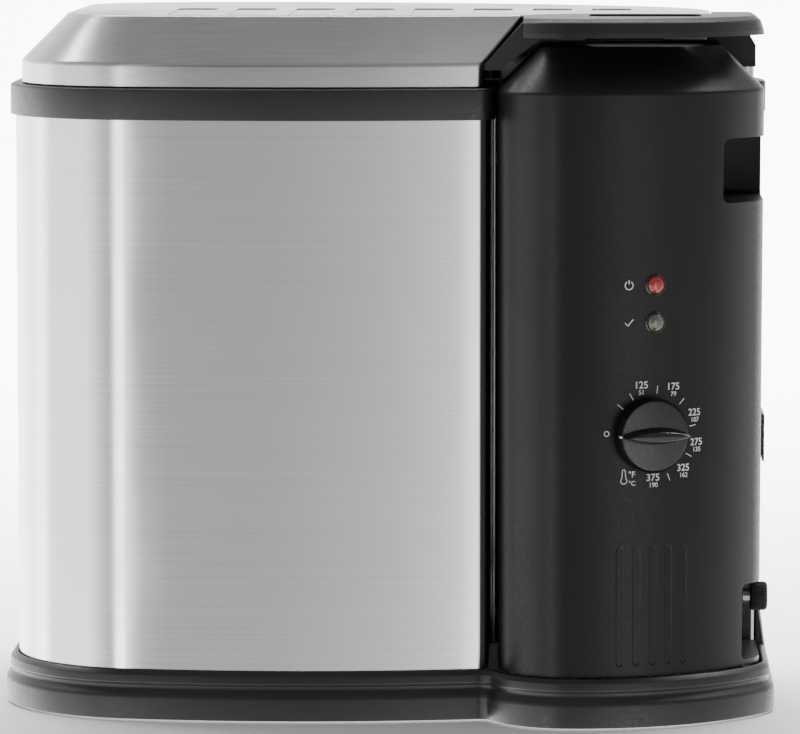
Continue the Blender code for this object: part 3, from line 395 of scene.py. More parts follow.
# ---------------------------------------------------------------- finishes

def shader(name):
    """A new material: its node tree, its Principled shader, and the object's own coordinates."""
    finish = bpy.data.materials.new(name)
    finish.use_nodes = True
    nodes = finish.node_tree.nodes
    where = nodes.new("ShaderNodeTexCoord").outputs["Object"]
    return finish, finish.node_tree, nodes["Principled BSDF"], where


def noise(tree, where, scale, stretch=(1, 1, 1), detail=3.0):
    """Noise of about `scale` cycles per metre, stretched along the axes."""
    nodes, links = tree.nodes, tree.links
    mapping, made = nodes.new("ShaderNodeMapping"), nodes.new("ShaderNodeTexNoise")
    mapping.inputs["Scale"].default_value = stretch
    made.inputs["Scale"].default_value = scale
    made.inputs["Detail"].default_value = detail
    links.new(where, mapping.inputs["Vector"])
    links.new(mapping.outputs["Vector"], made.inputs["Vector"])
    return made.outputs["Fac"]


def ramp(tree, source, low, high, start=0.35, end=0.65):
    made = tree.nodes.new("ShaderNodeValToRGB")
    stops = made.color_ramp.elements
    for stop, place, colour in zip(stops, (start, end), (low, high)):
        stop.position = place
        stop.color = (*colour, 1.0) if hasattr(colour, "__len__") else (colour, colour, colour, 1.0)
    tree.links.new(source, made.inputs["Fac"])
    return made.outputs["Color"]


def bumped(tree, bsdf, source, strength, distance):
    bump = tree.nodes.new("ShaderNodeBump")
    bump.inputs["Strength"].default_value = strength
    bump.inputs["Distance"].default_value = distance
    tree.links.new(source, bump.inputs["Height"])
    tree.links.new(bump.outputs["Normal"], bsdf.inputs["Normal"])


def moulded(name, colour, roughness, grain=900.0, depth=0.00006, strength=0.25, spread=0.10, vary=0.18,
            shine=0.5):
    """A moulded or coated surface with a fine grain and slightly uneven gloss."""
    finish, tree, bsdf, where = shader(name)
    fine, broad = noise(tree, where, grain, detail=2.0), noise(tree, where, 14.0)
    low, high = [c * (1 - vary) for c in colour], [min(c * (1 + vary), 1.0) for c in colour]
    tree.links.new(ramp(tree, broad, low, high), bsdf.inputs["Base Color"])
    tree.links.new(ramp(tree, fine, roughness - spread, roughness + spread), bsdf.inputs["Roughness"])
    bsdf.inputs["Specular IOR Level"].default_value = shine
    bumped(tree, bsdf, fine, strength, depth)
    return finish


def metal(name, colour, roughness, stretch=(1, 1, 1), scale=60.0, anisotropy=0.0, axis="Z", strength=0.05,
          spread=0.06, vary=0.05):
    """Bare metal whose brush marks or grain are noise stretched along the axes."""
    finish, tree, bsdf, where = shader(name)
    marks, broad = noise(tree, where, scale, stretch, 4.0), noise(tree, where, 9.0)
    low, high = [c * (1 - vary) for c in colour], [min(c * (1 + vary), 1.0) for c in colour]
    tree.links.new(ramp(tree, marks, low, high, 0.3, 0.7), bsdf.inputs["Base Color"])
    tree.links.new(ramp(tree, broad, roughness - spread, roughness + spread), bsdf.inputs["Roughness"])
    bsdf.inputs["Metallic"].default_value = 1.0
    if anisotropy:
        tangent = tree.nodes.new("ShaderNodeTangent")
        tangent.direction_type = "RADIAL"
        tangent.axis = axis
        tree.links.new(tangent.outputs["Tangent"], bsdf.inputs["Tangent"])
        bsdf.inputs["Anisotropic"].default_value = anisotropy
        bsdf.inputs["Anisotropic Rotation"].default_value = 0.25
    bumped(tree, bsdf, marks, strength, 0.0002)
    return finish


def glassy(name, colour, glow=0.0):
    """A coloured clear moulding."""
    finish = moulded(name, colour, 0.10, 300.0, 0.00002, 0.1, 0.03, 0.12)
    bsdf = finish.node_tree.nodes["Principled BSDF"]
    bsdf.inputs["Transmission Weight"].default_value = 0.45
    bsdf.inputs["Coat Weight"].default_value = 0.6
    bsdf.inputs["Coat Roughness"].default_value = 0.04
    bsdf.inputs["Emission Color"].default_value = (*colour, 1.0)
    bsdf.inputs["Emission Strength"].default_value = glow
    return finish


FINE_BRUSH = (0.02, 0.02, 12.0)
FINISHES = {
    "brushed_steel": metal("brushed_steel", (0.66, 0.65, 0.63), 0.19, FINE_BRUSH, 90.0, 0.8, strength=0.03,
                           spread=0.04),
    "polished_steel": metal("polished_steel", (0.70, 0.70, 0.69), 0.24, (1, 1, 1), 40.0),
    "lid_steel": metal("lid_steel", (0.50, 0.49, 0.48), 0.24, (0.05, 3.0, 3.0), 160.0, strength=0.03),
    "black_plastic": moulded("black_plastic", (0.0105, 0.0100, 0.0095), 0.42),
    "satin_black": moulded("satin_black", (0.0080, 0.0076, 0.0072), 0.38, shine=0.25),
    "gloss_black": moulded("gloss_black", (0.007, 0.007, 0.007), 0.26, 600.0, 0.00002, 0.15, 0.05),
    # Painted shade: a duller, darker black for the knob's outer rim, standing in for the shadow in the gap
    # round the knob.
    "knob_rim_shade": moulded("knob_rim_shade", (0.004, 0.004, 0.004), 0.65, 600.0, shine=0.05),
    "black_rubber": moulded("black_rubber", (0.012, 0.012, 0.012), 0.62, 500.0),
    "zinc": metal("zinc", (0.55, 0.55, 0.56), 0.34, (1, 1, 1), 300.0, strength=0.08),
    "brass": metal("brass", (0.70, 0.52, 0.24), 0.30, (1, 1, 1), 200.0),
    "aluminised_sheet": metal("aluminised_sheet", (0.55, 0.55, 0.55), 0.42, (0.1, 4.0, 1), 120.0),
    "cream_plastic": moulded("cream_plastic", (0.72, 0.68, 0.58), 0.5, 400.0, vary=0.05),
    "red_lens": glassy("red_lens", (0.52, 0.012, 0.015), 0.10),
    "clear_lens": glassy("clear_lens", (0.16, 0.19, 0.12)),
    "element_sheath": metal("element_sheath", (0.20, 0.19, 0.18), 0.45, (1, 1, 1), 150.0, strength=0.2),
    "basket_wire": metal("basket_wire", (0.75, 0.75, 0.74), 0.18, (1, 1, 1), 200.0),
    "live_wire": moulded("live_wire", (0.020, 0.020, 0.020), 0.45),
    "neutral_wire": moulded("neutral_wire", (0.80, 0.80, 0.78), 0.45, vary=0.03),
    "earth_wire": moulded("earth_wire", (0.05, 0.30, 0.08), 0.45),
    "red_button": moulded("red_button", (0.50, 0.03, 0.02), 0.35),
    "white_print": moulded("white_print", (0.78, 0.78, 0.77), 0.55, 700.0, 0.00001, 0.1, 0.05, 0.04),
}
NODE_FINISHES = {
    "black_plastic": ["base_plinth", "top_band", "power_lamp_holder", "ready_lamp_holder", "lid_handle"],
    "satin_black": ["head_shell", "head_back_cover"],
    "gloss_black": ["thermostat_knob", "power_inlet"],
    "black_rubber": ["foot_front_left", "foot_front_right", "foot_rear_left", "foot_rear_right",
                     "drain_washer", "cap_tether", "drain_cap"],
    "aluminised_sheet": ["bottom_plate"],
    "zinc": ["base_screw_1", "base_screw_2", "base_screw_3", "base_screw_4", "cover_screw_1", "cover_screw_2",
             "cover_screw_3", "cover_screw_4", "drain_pipe", "thermostat_shaft", "handle_screw_1",
             "handle_screw_2"],
    "brass": ["drain_nut", "inlet_contact_1", "inlet_contact_2", "inlet_contact_3"],
    "cream_plastic": ["thermostat", "terminal_block", "limit_switch"],
    "brushed_steel": ["outer_wrap", "element_bracket", "element_junction", "thermostat_probe",
                      "basket_ear_front", "basket_ear_rear"],
    "lid_steel": ["lid_shell", "vent_grille"],
    "polished_steel": ["inner_pot", "basket_bail"],
    "element_sheath": ["heating_element"],
    "basket_wire": ["basket"],
    "red_lens": ["power_lamp_lens"], "clear_lens": ["ready_lamp_lens"], "red_button": ["reset_button"],
    "live_wire": ["live_wire"], "neutral_wire": ["neutral_wire"], "earth_wire": ["earth_wire"],
}
for finish_name, node_names in NODE_FINISHES.items():
    for node_name in node_names:
        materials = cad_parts[node_name].data.materials
        materials.clear()
        materials.append(FINISHES[finish_name])


# ---------------------------------------------------------------- housing

SETBACK = WALL_LOW.y + 0.1465  # from the plan's numbers to the frame's y


def plan_box(name, low, high, round_edges=0.0):
    """A box whose corners are given in the plan's numbers."""
    corners = [(x, y + SETBACK, z) for x, y, z in (low, high)]
    return block(name, *corners, None, round_edges)


def base_skirt():
    """The moulded base: an upright skirt, a rounded shoulder, a groove and a bead, and the rear riser."""
    profile = [
        (0.0005, 0.0246), (0.0010, 0.0180), (0.0047, 0.0120), (0.0047, 0.0012), (0.0074, 0.0012),
        (0.0074, 0.0140, 0.0040), (0.0040, 0.0178, 0.0018), (0.0040, 0.0196, 0.0012),
        (0.0052, 0.0212, 0.0012), (0.0046, 0.0252, 0.0010), (0.0024, 0.0276, 0.0016), (0.0005, 0.0276),
    ]
    skirt = loft("base_skirt", base_outline, softened(profile, 0.0006, 4, True), FINISHES["black_plastic"],
                 True)
    rise = [(0.0007, 0.0230), (0.0050, 0.0230), (0.0030, 0.0380, 0.0060), (0.0016, 0.0478, 0.0010),
            (0.0007, 0.0478, 0.0003)]
    riser = loft("riser", housing_outline, softened(rise, 0.0006, 4, True), None, True)
    room = plan_box("riser_room", (0.150, -0.0325, 0.0), (0.230, 0.0450, 0.10), 0.008)
    cut(riser, room, operation="INTERSECT")
    cut(skirt, riser, operation="UNION")
    keep(skirt, "housing", "black_plastic", "base_plinth")


def steel_wall():
    """The brushed wall, with the lapped seam and its rivets at the rear."""
    low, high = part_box("outer_wrap")[0].z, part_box("outer_wrap")[1].z
    profile = [(-0.0008, low), (0.0, low), (0.0, high), (-0.0008, high)]
    wall = loft("steel_wall", housing_outline, profile, None, True)
    lapped = [(-0.0004, low), (0.0006, low), (0.0006, high), (-0.0004, high)]
    seam = loft("seam", housing_outline, lapped, None, True)
    lap = block("lap", (REAR_APEX_X - 0.009, 0.10, low + 0.0004), (REAR_APEX_X + 0.009, 0.25, high - 0.0120))
    cut(seam, lap, operation="INTERSECT")
    rivets = []
    for i in range(7):
        height = low + 0.030 + i * 0.043
        dome = [(0.0026, 0.0), (0.0026, 0.0010), (0.0021, 0.0016), (0.0011, 0.0020), (0.0, 0.0021)]
        place = (REAR_APEX_X, WALL_HIGH.y, height)
        rivets.append(turned(f"rivet_{i}", dome, None, place, (0, 1, 0), 20))
    made = joined("steel_wall_shell", [wall, seam, *rivets], FINISHES["brushed_steel"])
    keep(made, "housing", "brushed_steel", "outer_wrap")


def rim_band():
    """The black rim moulding over the wall's top edge."""
    profile = [
        (0.0030, 0.3270, 0.0006), (0.0030, BAND_TOP, 0.0012), (-0.0060, BAND_TOP, 0.0010),
        (-0.0060, 0.3410, 0.0004), (-0.0117, 0.3410, 0.0004), (-0.0117, 0.3380, 0.0004),
        (0.0003, 0.3380, 0.0004), (0.0003, 0.3270, 0.0004),
    ]
    band = loft("rim_band", housing_outline, softened(profile, 0.0005, 3, True), FINISHES["black_plastic"],
                True)
    keep(band, "housing", "black_plastic", "top_band")


def pot():
    """The pressed pot with its hanging flange, pressed level lines and the drain hole."""
    inset, wall, floor = 0.012, 0.001, 0.046
    line_heights = (0.170, 0.215)
    outside = [(-inset - 0.012, floor), (-inset, floor + 0.012, 0.0100), (-inset, 0.3413, 0.0006),
               (-0.0066, 0.3413), (-0.0066, 0.3423)]
    inside = [(-inset - wall, 0.3423, 0.0012)]
    for height in reversed(line_heights):
        inside += [(-inset - wall, height + 0.0016), (-inset - wall - 0.0007, height + 0.0008, 0.0006),
                   (-inset - wall - 0.0007, height - 0.0008, 0.0006), (-inset - wall, height - 0.0016)]
    inside += [(-inset - wall, floor + 0.0130, 0.0100), (-inset - 0.0130, floor + wall)]
    profile = softened(outside + inside, 0.0004, 5)
    vessel = loft("fryer_pot", housing_outline, profile, FINISHES["polished_steel"])
    place = (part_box("drain_pipe")[0].x + 0.005, NOTCH_Y, 0.0615)
    cut(vessel, turned("drain_hole", [(0.0040, -0.006), (0.0040, 0.020)], None, place, (0, 1, 0), 28))
    keep(vessel, "housing", "polished_steel", "inner_pot")


# ---------------------------------------------------------------- drain

def drain_parts():
    """The spout's ribbed cap, and a thin black sheet on the wall behind the spout: painted shade that darkens
    the drain bay.
    """
    low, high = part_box("drain_cap")
    centre = ((low + high) / 2)
    radius = (high.y - low.y) / 2
    ribs, length = 36, high.x - low.x
    turns = np.arange(ribs * 4) * 2 * pi / (ribs * 4)
    mouth = 0.0076  # how far the plug reaches into the spout

    def ring(size, depth=0.0):
        r = size - depth * (np.arange(ribs * 4) % 4 > 1)
        return np.stack([r * np.cos(turns), r * np.sin(turns)], 1)

    layers = [(ring(0.0029), 0.0), (ring(0.0029), mouth), (ring(radius - 0.0014), mouth),
              (ring(radius - 0.0004, 0.0004), mouth + 0.0006), (ring(radius, 0.0005), mouth + 0.0014),
              (ring(radius, 0.0005), length - 0.0018), (ring(radius - 0.0005, 0.0003), length - 0.0007),
              (ring(radius - 0.0016), length)]
    cap = loft_rings("ribbed_cap", layers, FINISHES["black_rubber"])
    placed(cap, Matrix.Translation((low.x, centre.y, centre.z)) @ Matrix.Rotation(pi / 2, 4, "Y"))
    keep(cap, "drain_cap", "black_rubber", "drain_cap")
    # Painted shade: a thin black sheet on the notch wall behind the spout makes the drain bay look dark
    # inside.
    left, right, foot, top, thick = 0.168, 0.2028, 0.0290, 0.0760, 0.0006
    shade_pad = block("spout_shade_pad", (left, NOTCH_Y - thick, foot), (right, NOTCH_Y + 0.0002, top),
                FINISHES["black_rubber"], 0.0002)
    keep(shade_pad, "housing", "black_rubber")


# ---------------------------------------------------------------- control head

def stadium(name, width, low, high, depth_in, depth_out, steps=8):
    """An upright slot-shaped prism in a face frame's axes: X across, Y up, Z outwards."""
    r = width / 2
    outline = np.concatenate([arc((0, high - r), r, 0, 180, steps), arc((0, low + r), r, 180, 360, steps)])
    middle, bevel = (low + high) / 2, 0.0009
    shrink = np.array([0.72, 1 - 2 * bevel / (high - low)])
    shrunk = (outline - (0, middle)) * shrink + (0, middle)
    return loft_rings(name, [(shrunk, -depth_in), (outline, 0.0007 - depth_in), (outline, depth_out)])


def draft(height):
    """How far the head's side stands out from its shoulder outline at this height."""
    return -0.0012 * (HEAD_SHOULDER - height) / (HEAD_SHOULDER - HEAD_LOW.z)


def control_housing():
    """The front shell: drafted sides, a soft shoulder, sloped flanks, and everything cut into it."""
    top, wall = HEAD_HIGH.z, 0.0025
    profile = softened([(-0.0012, HEAD_LOW.z), (0.0, HEAD_SHOULDER, 0.0030), (-HEAD_SLOPE, top, 0.0015),
                        (-HEAD_SLOPE - 0.010, top)], 0.0010, 6)
    shell = loft("control_housing", head_outline, profile, FINISHES["satin_black"])
    hollow = [(-wall, HEAD_LOW.z + wall), (-wall, 0.3400), (-wall - 0.0005, 0.3415),
              (-HEAD_SLOPE - 0.0010, 0.3640)]
    cavity = loft("head_hollow", lambda g: head_outline(g, HEAD_HIGH.y - wall - 0.0006), hollow)
    pocket_low, pocket_high = (0.174, -0.1334, 0.2820), (0.230, -0.0485, 0.3170)
    bay_low, bay_high = (0.166, -0.1190, 0.0310), (0.230, -0.030, 0.0725)

    def walls(name, low, high):
        return plan_box(name, [v - wall for v in low], [v + wall for v in high], 0.004)

    cut(cavity, walls("pocket_walls", pocket_low, pocket_high), walls("bay_walls", bay_low, bay_high))
    back = plan_box("back_opening", (0.0633, -0.060, 0.0306), (0.2038, 0.0, 0.3400))
    cut(back, walls("pocket_back", pocket_low, pocket_high), walls("bay_back", bay_low, bay_high))
    cut(shell, cavity, back)
    cut(shell, plan_box("pocket", pocket_low, pocket_high, 0.0035),
        plan_box("bay", bay_low, bay_high, 0.0030))
    cut(shell, plan_box("bracket_slot", (0.075, -0.050, 0.3442), (0.145, -0.030, 0.3498)),
        plan_box("inlet_hole", (0.195, -0.0853, 0.1397), (0.215, -0.0547, 0.1603)))
    grooves = []
    for i in range(5):
        groove = stadium(f"groove_{i}", 0.0046, 0.033, 0.099, 0.0017, 0.010)
        grooves.append(placed(groove, on_face(13.2 + 4.5 * i, 0)))
    holes = [turned("knob_hole", [(0.0045, -0.01), (0.0045, 0.01)], None)]
    placed(holes[0], on_face(KNOB_ANGLE, KNOB_HEIGHT))
    for height in LAMP_HEIGHTS.values():
        hole = turned("lamp_hole", [(0.0052, -0.01), (0.0052, 0.01)], None)
        holes.append(placed(hole, on_face(LAMP_ANGLE, height)))
    cut(shell, *grooves, *holes)
    keep(shell, "control_head", "black_plastic", "head_shell")


def knob():
    """The round knob with a lens-shaped grip that comes to a point, and its white pointer line."""
    radius = KNOB_RADIUS
    profile = [(0.0035, 0.0026), (radius - 0.0012, 0.0026), (radius, 0.0034), (radius, 0.0066),
               (radius - 0.0016, 0.0084, 0.0012), (0.0, 0.0092)]
    disc = turned("control_knob", softened(profile, 0.0004, 4), None, sides=96)
    steps = 40
    t = np.linspace(0, 1, steps + 1)
    along = -radius + 0.0002 + (2 * radius - 0.0012) * t
    wide = np.sin(pi * t ** 0.85) ** 0.75 * (0.55 + 0.45 * t)
    wide[-1] = wide[0] = 0.0

    def blade(width, shrink):
        upper = np.stack([along * shrink, wide * width], 1)
        lower = np.stack([along * shrink, -wide * width], 1)[::-1]
        return np.concatenate([upper[:-1], lower[:-1]])

    sizes = [(0.0072, 1.0, 0.0070), (0.0062, 1.0, 0.0088), (0.0050, 0.995, 0.0110), (0.0042, 0.985, 0.0140),
             (0.0036, 0.970, 0.0160), (0.0026, 0.950, 0.0170), (0.0010, 0.920, 0.01745)]
    grip = loft_rings("grip", [(blade(width, shrink), height) for width, shrink, height in sizes])
    cut(disc, grip, operation="UNION")
    disc.data.materials.append(FINISHES["gloss_black"])
    disc.data.materials.append(FINISHES["knob_rim_shade"])
    rim, rim_top = radius - 0.0014, 0.0082  # painted shade: the dark ring round the knob's face stands in for the shadow in the gap round it
    for face in disc.data.polygons:
        if Vector(face.center[:2]).length > rim and face.center.z < rim_top:
            face.material_index = 1
    placed(disc, on_face(KNOB_ANGLE, KNOB_HEIGHT))
    keep(disc, "knob", "gloss_black", "thermostat_knob")
    low, high = (-radius - 0.0001, -0.0005, 0.0070), (0.0022 - radius, 0.0005, 0.0105)
    pointer = block("knob_pointer", low, high, FINISHES["white_print"], 0.0002)
    keep(placed(pointer, on_face(KNOB_ANGLE, KNOB_HEIGHT)), "knob", "gloss_black")


def lamps():
    """Domed lenses in dark collars."""
    for label, height in LAMP_HEIGHTS.items():
        slot_name = "red_lens" if label == "power" else "clear_lens"
        out = draft(height)
        dome = softened([(0.0040, -0.0060), (0.0040, 0.0000), (0.0047, 0.0002), (0.0046, 0.0016, 0.0012),
                         (0.0028, 0.0034, 0.0016), (0.0, 0.0039)], 0.0003, 5)
        lens = turned(f"{label}_lamp_dome", dome, FINISHES[slot_name], sides=64)
        placed(lens, on_face(LAMP_ANGLE, height, out))
        keep(lens, "control_head", slot_name, f"{label}_lamp_lens")
        ring = softened([(0.0048, -0.0020), (0.0048, 0.0010), (0.0053, 0.0012), (0.0060, 0.0004),
                         (0.0060, 0.0), (0.0051, -0.0004), (0.0051, -0.0020)], 0.0002, 3, True)
        collar = turned(f"{label}_lamp_collar", ring, FINISHES["gloss_black"], sides=64, hoop=True)
        placed(collar, on_face(LAMP_ANGLE, height, out))
        keep(collar, "control_head", "gloss_black")


def printed(name, pieces, angle, height):
    """Thin print wrapped round the control face: pieces are meshes in local X, Y with their backs at Z 0."""
    print_mesh = joined(name, pieces, FINISHES["white_print"])
    for vertex in print_mesh.data.vertices:
        across, up, out = vertex.co
        at = height + up
        matrix = on_face(angle + degrees(across / HEAD_FRONT_ROUND), at, draft(at) + out)
        vertex.co = matrix.translation
    keep(print_mesh, "control_head", "black_plastic")


def word(text, size, x, y):
    """Flat lettering centred on a point."""
    curve = bpy.data.curves.new("word", "FONT")
    curve.body = text
    curve.size = size
    curve.align_x, curve.align_y = "CENTER", "CENTER"
    curve.extrude = 0.00006
    curve.offset = size * 0.012
    obj = bpy.data.objects.new("word", curve)
    bpy.context.scene.collection.objects.link(obj)
    graph = bpy.context.evaluated_depsgraph_get()
    mesh = bpy.data.meshes.new_from_object(obj.evaluated_get(graph))
    bpy.data.objects.remove(obj)
    made = bpy.data.objects.new("word_mesh", mesh)
    bpy.context.scene.collection.objects.link(made)
    mesh.transform(Matrix.Translation((x, y, 0.00006)))
    return made


def stroke(points, width=0.0005, closed=False):
    """A flat line of even width through points in local X, Y."""
    points = [Vector(p) for p in points]
    count = len(points)
    sides = []
    for i, p in enumerate(points):
        before, after = points[i - 1], points[(i + 1) % count]
        if not closed:
            before, after = points[max(i - 1, 0)], points[min(i + 1, count - 1)]
        ahead = (after - before).normalized()
        sides.append(Vector((-ahead.y, ahead.x)) * width / 2)
    rings = []
    for p, side in zip(points, sides):
        low, high = -0.00002, 0.00012
        rings.append([(*(p + side), low), (*(p + side), high), (*(p - side), high), (*(p - side), low)])
    faces = ring_faces(count, 4, closed)
    if not closed:
        faces += [(0, 1, 2, 3), tuple((count - 1) * 4 + i for i in range(4))]
    return mesh_object("stroke", [v for ring in rings for v in ring], faces)


def dial_print():
    """The temperature scale round the knob and plain symbols beside the lamps."""
    pieces = []
    centre = Vector((0.0026, -0.0006))
    for turn in (140, 121, 85, 46, 10, -28, -68):
        direction = Vector((cos(radians(turn)), sin(radians(turn))))
        pieces.append(stroke([centre + direction * 0.0226, centre + direction * 0.0268], 0.00045))
    scale = [("125", "51", -0.0046, 0.0266), ("175", "79", 0.0143, 0.0253),
             ("225", "107", 0.0280, 0.0107), ("275", "135", 0.0294, -0.0055),
             ("325", "162", 0.0209, -0.0190), ("375", "190", 0.0025, -0.0236)]
    for upper, lower, x, y in scale:
        pieces += [word(upper, 0.0054, x, y), word(lower, 0.0036, x + 0.0002, y - 0.0040)]
    pieces.append(stroke(arc((-0.0238, 0.0008), 0.0013, 0, 360, 24)[:-1], 0.0005, True))
    bulb = np.concatenate([arc((-0.0142, -0.0248), 0.0017, 130, 410, 20),
                           arc((-0.0142, -0.0196), 0.0008, 0, 180, 8)])
    pieces.append(stroke(bulb, 0.00045, True))
    pieces += [word("°F", 0.0046, -0.0098, -0.0216), word("°C", 0.0036, -0.0096, -0.0264)]
    printed("dial_scale", pieces, KNOB_ANGLE, KNOB_HEIGHT)
    power = [stroke(arc((0, 0), 0.0022, 120, 420, 24), 0.0006), stroke([(0, 0.0006), (0, 0.0030)], 0.0006)]
    printed("power_symbol", power, LAMP_ANGLE - SYMBOL_TURN, LAMP_HEIGHTS["power"])
    tick = [stroke([(-0.0022, 0.0002), (-0.0006, -0.0015), (0.0024, 0.0020)], 0.0006)]
    printed("ready_symbol", tick, LAMP_ANGLE - SYMBOL_TURN, LAMP_HEIGHTS["ready"])


# ---------------------------------------------------------------- lid

LID_BOTTOM, LID_TOP = LID_LOW.z, LID_HIGH.z
ROOF_REAR = -0.0725 + SETBACK  # where the top sheet starts to cover the handle's roof


def lid_ring(inwards, inset=0.0, over=0.0):
    """One ring of the lid, its sides moved in by `inwards` up the slope and by the sheet's `inset`."""
    still = -LID_INSET - inset
    return housing_outline(still - inwards, still + LID_LEAN / LID_SLOPE * inwards, still + over)


def vent_slots(grow=0.0, low=0.37, high=0.40):
    """Cutters for the vents: round-ended slots side by side, shorter where the handle is."""
    slots = []
    for i in range(8):
        middle = -0.10955 + 0.0333 * i
        front = -0.1027 if middle < 0.030 else -0.0657
        half, r = 0.0110 + grow, 0.0035
        near, far = front + SETBACK - grow, 0.0165 + SETBACK + grow
        corners = [((middle + half - r, far - r), 0), ((middle - half + r, far - r), 90),
                   ((middle - half + r, near + r), 180), ((middle + half - r, near + r), 270)]
        outline = np.concatenate([arc(c, r, a, a + 90, 5) for c, a in corners])
        slots.append(loft_rings(f"vent_{i}", [(outline, low), (outline, high)]))
    return joined("vent_cutters", slots)


def lid_cover():
    """The pressed steel lid with its open slots, and the plate under them."""
    sheet, over = 0.0012, NOTCH_Y - ROOF_REAR + LID_INSET
    outside = softened([(0.0, LID_BOTTOM), (0.0, LID_SHOULDER, 0.0040),
                        (LID_SLOPE - 0.0012, LID_TOP - 0.0014)], 0.001, 8)
    rings = [(lid_ring(LID_SLOPE - sheet, sheet), LID_TOP - sheet),
             (lid_ring(0.0, sheet), LID_SHOULDER - sheet / 2), (lid_ring(0.0, sheet), LID_BOTTOM)]
    rings += [(lid_ring(inwards), height) for inwards, height in outside]
    rings += [(lid_ring(LID_SLOPE - 0.0009, over=over), LID_TOP - 0.0009),
              (lid_ring(LID_SLOPE - 0.0004, over=over), LID_TOP - 0.0003),
              (lid_ring(LID_SLOPE + 0.0006, over=over), LID_TOP)]
    cover = loft_rings("lid_cover", rings, FINISHES["lid_steel"])
    passage = plan_box("passage", (0.074, -0.040, 0.340), (0.146, -0.025, 0.3505))
    cut(cover, passage, vent_slots())
    keep(cover, "lid", "lid_steel", "lid_shell")
    low, high = LID_TOP - 0.0017, LID_TOP - 0.0007  # just under the top, so that the slots look shallow
    tray = plan_box("vent_tray", (-0.1295, -0.1055, low), (0.0390, 0.0110, high), 0.0002)
    side = plan_box("tray_side", (0.030, -0.0685, low), (0.1435, 0.0110, high), 0.0002)
    cut(tray, side, operation="UNION")
    tray.data.materials.append(FINISHES["lid_steel"])
    keep(tray, "lid", "lid_steel", "vent_grille")


def handle():
    """The moulded handle: a roof over the control head with a finger opening, and its two webs."""
    back, wall, bottom = -0.0364 + SETBACK, 0.003, 0.3722
    profile = softened([(0.0, bottom, 0.0005), (-0.0004, 0.3748, 0.0008), (-0.0022, 0.3802, 0.0030),
                        (-0.0060, LID_TOP, 0.0030), (-0.0120, LID_TOP)], 0.0008, 5)
    roof = loft("lid_grip", lambda g: head_outline(g, back), profile, FINISHES["black_plastic"])
    inside = softened([(-wall, bottom - 0.01), (-wall, LID_TOP - 0.0045, 0.0015),
                       (-wall - 0.01, LID_TOP - 0.0045)], 0.001, 4)
    hollow = loft("roof_hollow", lambda g: head_outline(g, back - wall), inside)
    left, front, right, rear, lip = 0.1108, -0.1195, 0.1717, -0.0795, 0.0025
    collar = plan_box("collar", (left - lip, front - lip, 0.3697), (right + lip, rear + lip, 0.3800), 0.0012)
    opening = plan_box("finger_opening", (left, front, 0.360), (right, rear, 0.400), 0.006)
    cut(roof, hollow)
    cut(roof, collar, operation="UNION")
    cut(roof, opening)
    notch_edge = NOTCH_X - LID_INSET  # the lid's own edge beside the head, at its shoulder
    trim = plan_box("left_trim", (0.040, -0.180, 0.360), (notch_edge + LID_LEAN + 0.0005, 0.0, 0.390))
    over = NOTCH_Y - ROOF_REAR + LID_INSET
    sheet_edge = lid_ring(LID_SLOPE, -0.0012, over)
    step = loft_rings("roof_step", [(sheet_edge, LID_TOP - 0.0021), (sheet_edge, 0.40)])
    cut(roof, trim, step)
    foot, head = notch_edge + 0.0008, notch_edge + LID_LEAN + 0.0006
    web = [(foot, 0.3570), (foot, 0.3535), (foot + 0.0095, 0.3535), (foot + 0.0110, 0.3560),
           (head + 0.0105, 0.3715), (head + 0.0105, 0.3800), (head, 0.3800)]
    cut(roof, upright("left_web", web, -0.1260, -0.0380), operation="UNION")
    end = [(0.150, 0.3745), (0.150, 0.3520), (0.2035, 0.3520), (0.2035, 0.3640), (0.1975, 0.3745)]
    cut(roof, upright("right_web", end, -0.0377, -0.0330), operation="UNION")
    room = [(lid_ring(0.0, -0.0005), 0.350), (lid_ring(0.0, -0.0005), LID_SHOULDER),
            (lid_ring(LID_SLOPE - 0.0016, -0.0005), LID_TOP - 0.0016)]
    cut(roof, loft_rings("lid_room", room))
    keep(roof, "lid", "black_plastic", "lid_handle")


def upright(name, corners, front, rear):
    """A prism along Y from a section in X and Z, between two of the plan's y values."""
    count = len(corners)
    points = [(x, y + SETBACK, z) for y in (front, rear) for x, z in corners]
    faces = [(i, (i + 1) % count, count + (i + 1) % count, count + i) for i in range(count)]
    faces += [tuple(range(count)), tuple(range(count, 2 * count))]
    return mesh_object(name, points, faces)


# ---------------------------------------------------------------- basket and element

def basket():
    """The wire basket: hoops, uprights that turn under the floor, and the floor's cross wires."""
    low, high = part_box("basket")
    rim, wire, corner = -0.0330, 0.0011, 0.010
    floor = low.z + wire
    hoops = []
    for i, height in enumerate(np.linspace(floor + corner, high.z - 0.0016, 8)):
        outline = housing_outline(rim)
        thick = 0.0018 if i == 7 else wire
        hoops.append(swept(f"hoop_{i}", [(x, y, height) for x, y in outline], thick, sides=8, closed=True))
    outline, inner = housing_outline(rim + wire), housing_outline(rim - corner)
    lengths = np.cumsum(np.linalg.norm(np.roll(outline, -1, 0) - outline, axis=1))
    wanted = np.searchsorted(lengths, np.linspace(0, lengths[-1], 84, endpoint=False))
    for i in wanted:
        i = min(int(i), len(outline) - 1)
        (x, y), (u, v) = outline[i], inner[i]
        path = rounded_path([(x, y, high.z - 0.003), (x, y, floor), (u, v, floor)], corner, 5)
        hoops.append(swept(f"upright_{i}", path, wire * 0.8, sides=6))
    ring = swept("floor_ring", [(x, y, floor) for x, y in inner], wire, sides=8, closed=True)
    hoops.append(ring)
    hoops += floor_wires(inner, floor, wire)
    made = joined("wire_basket", hoops, FINISHES["basket_wire"])
    keep(made, "basket", "basket_wire", "basket")


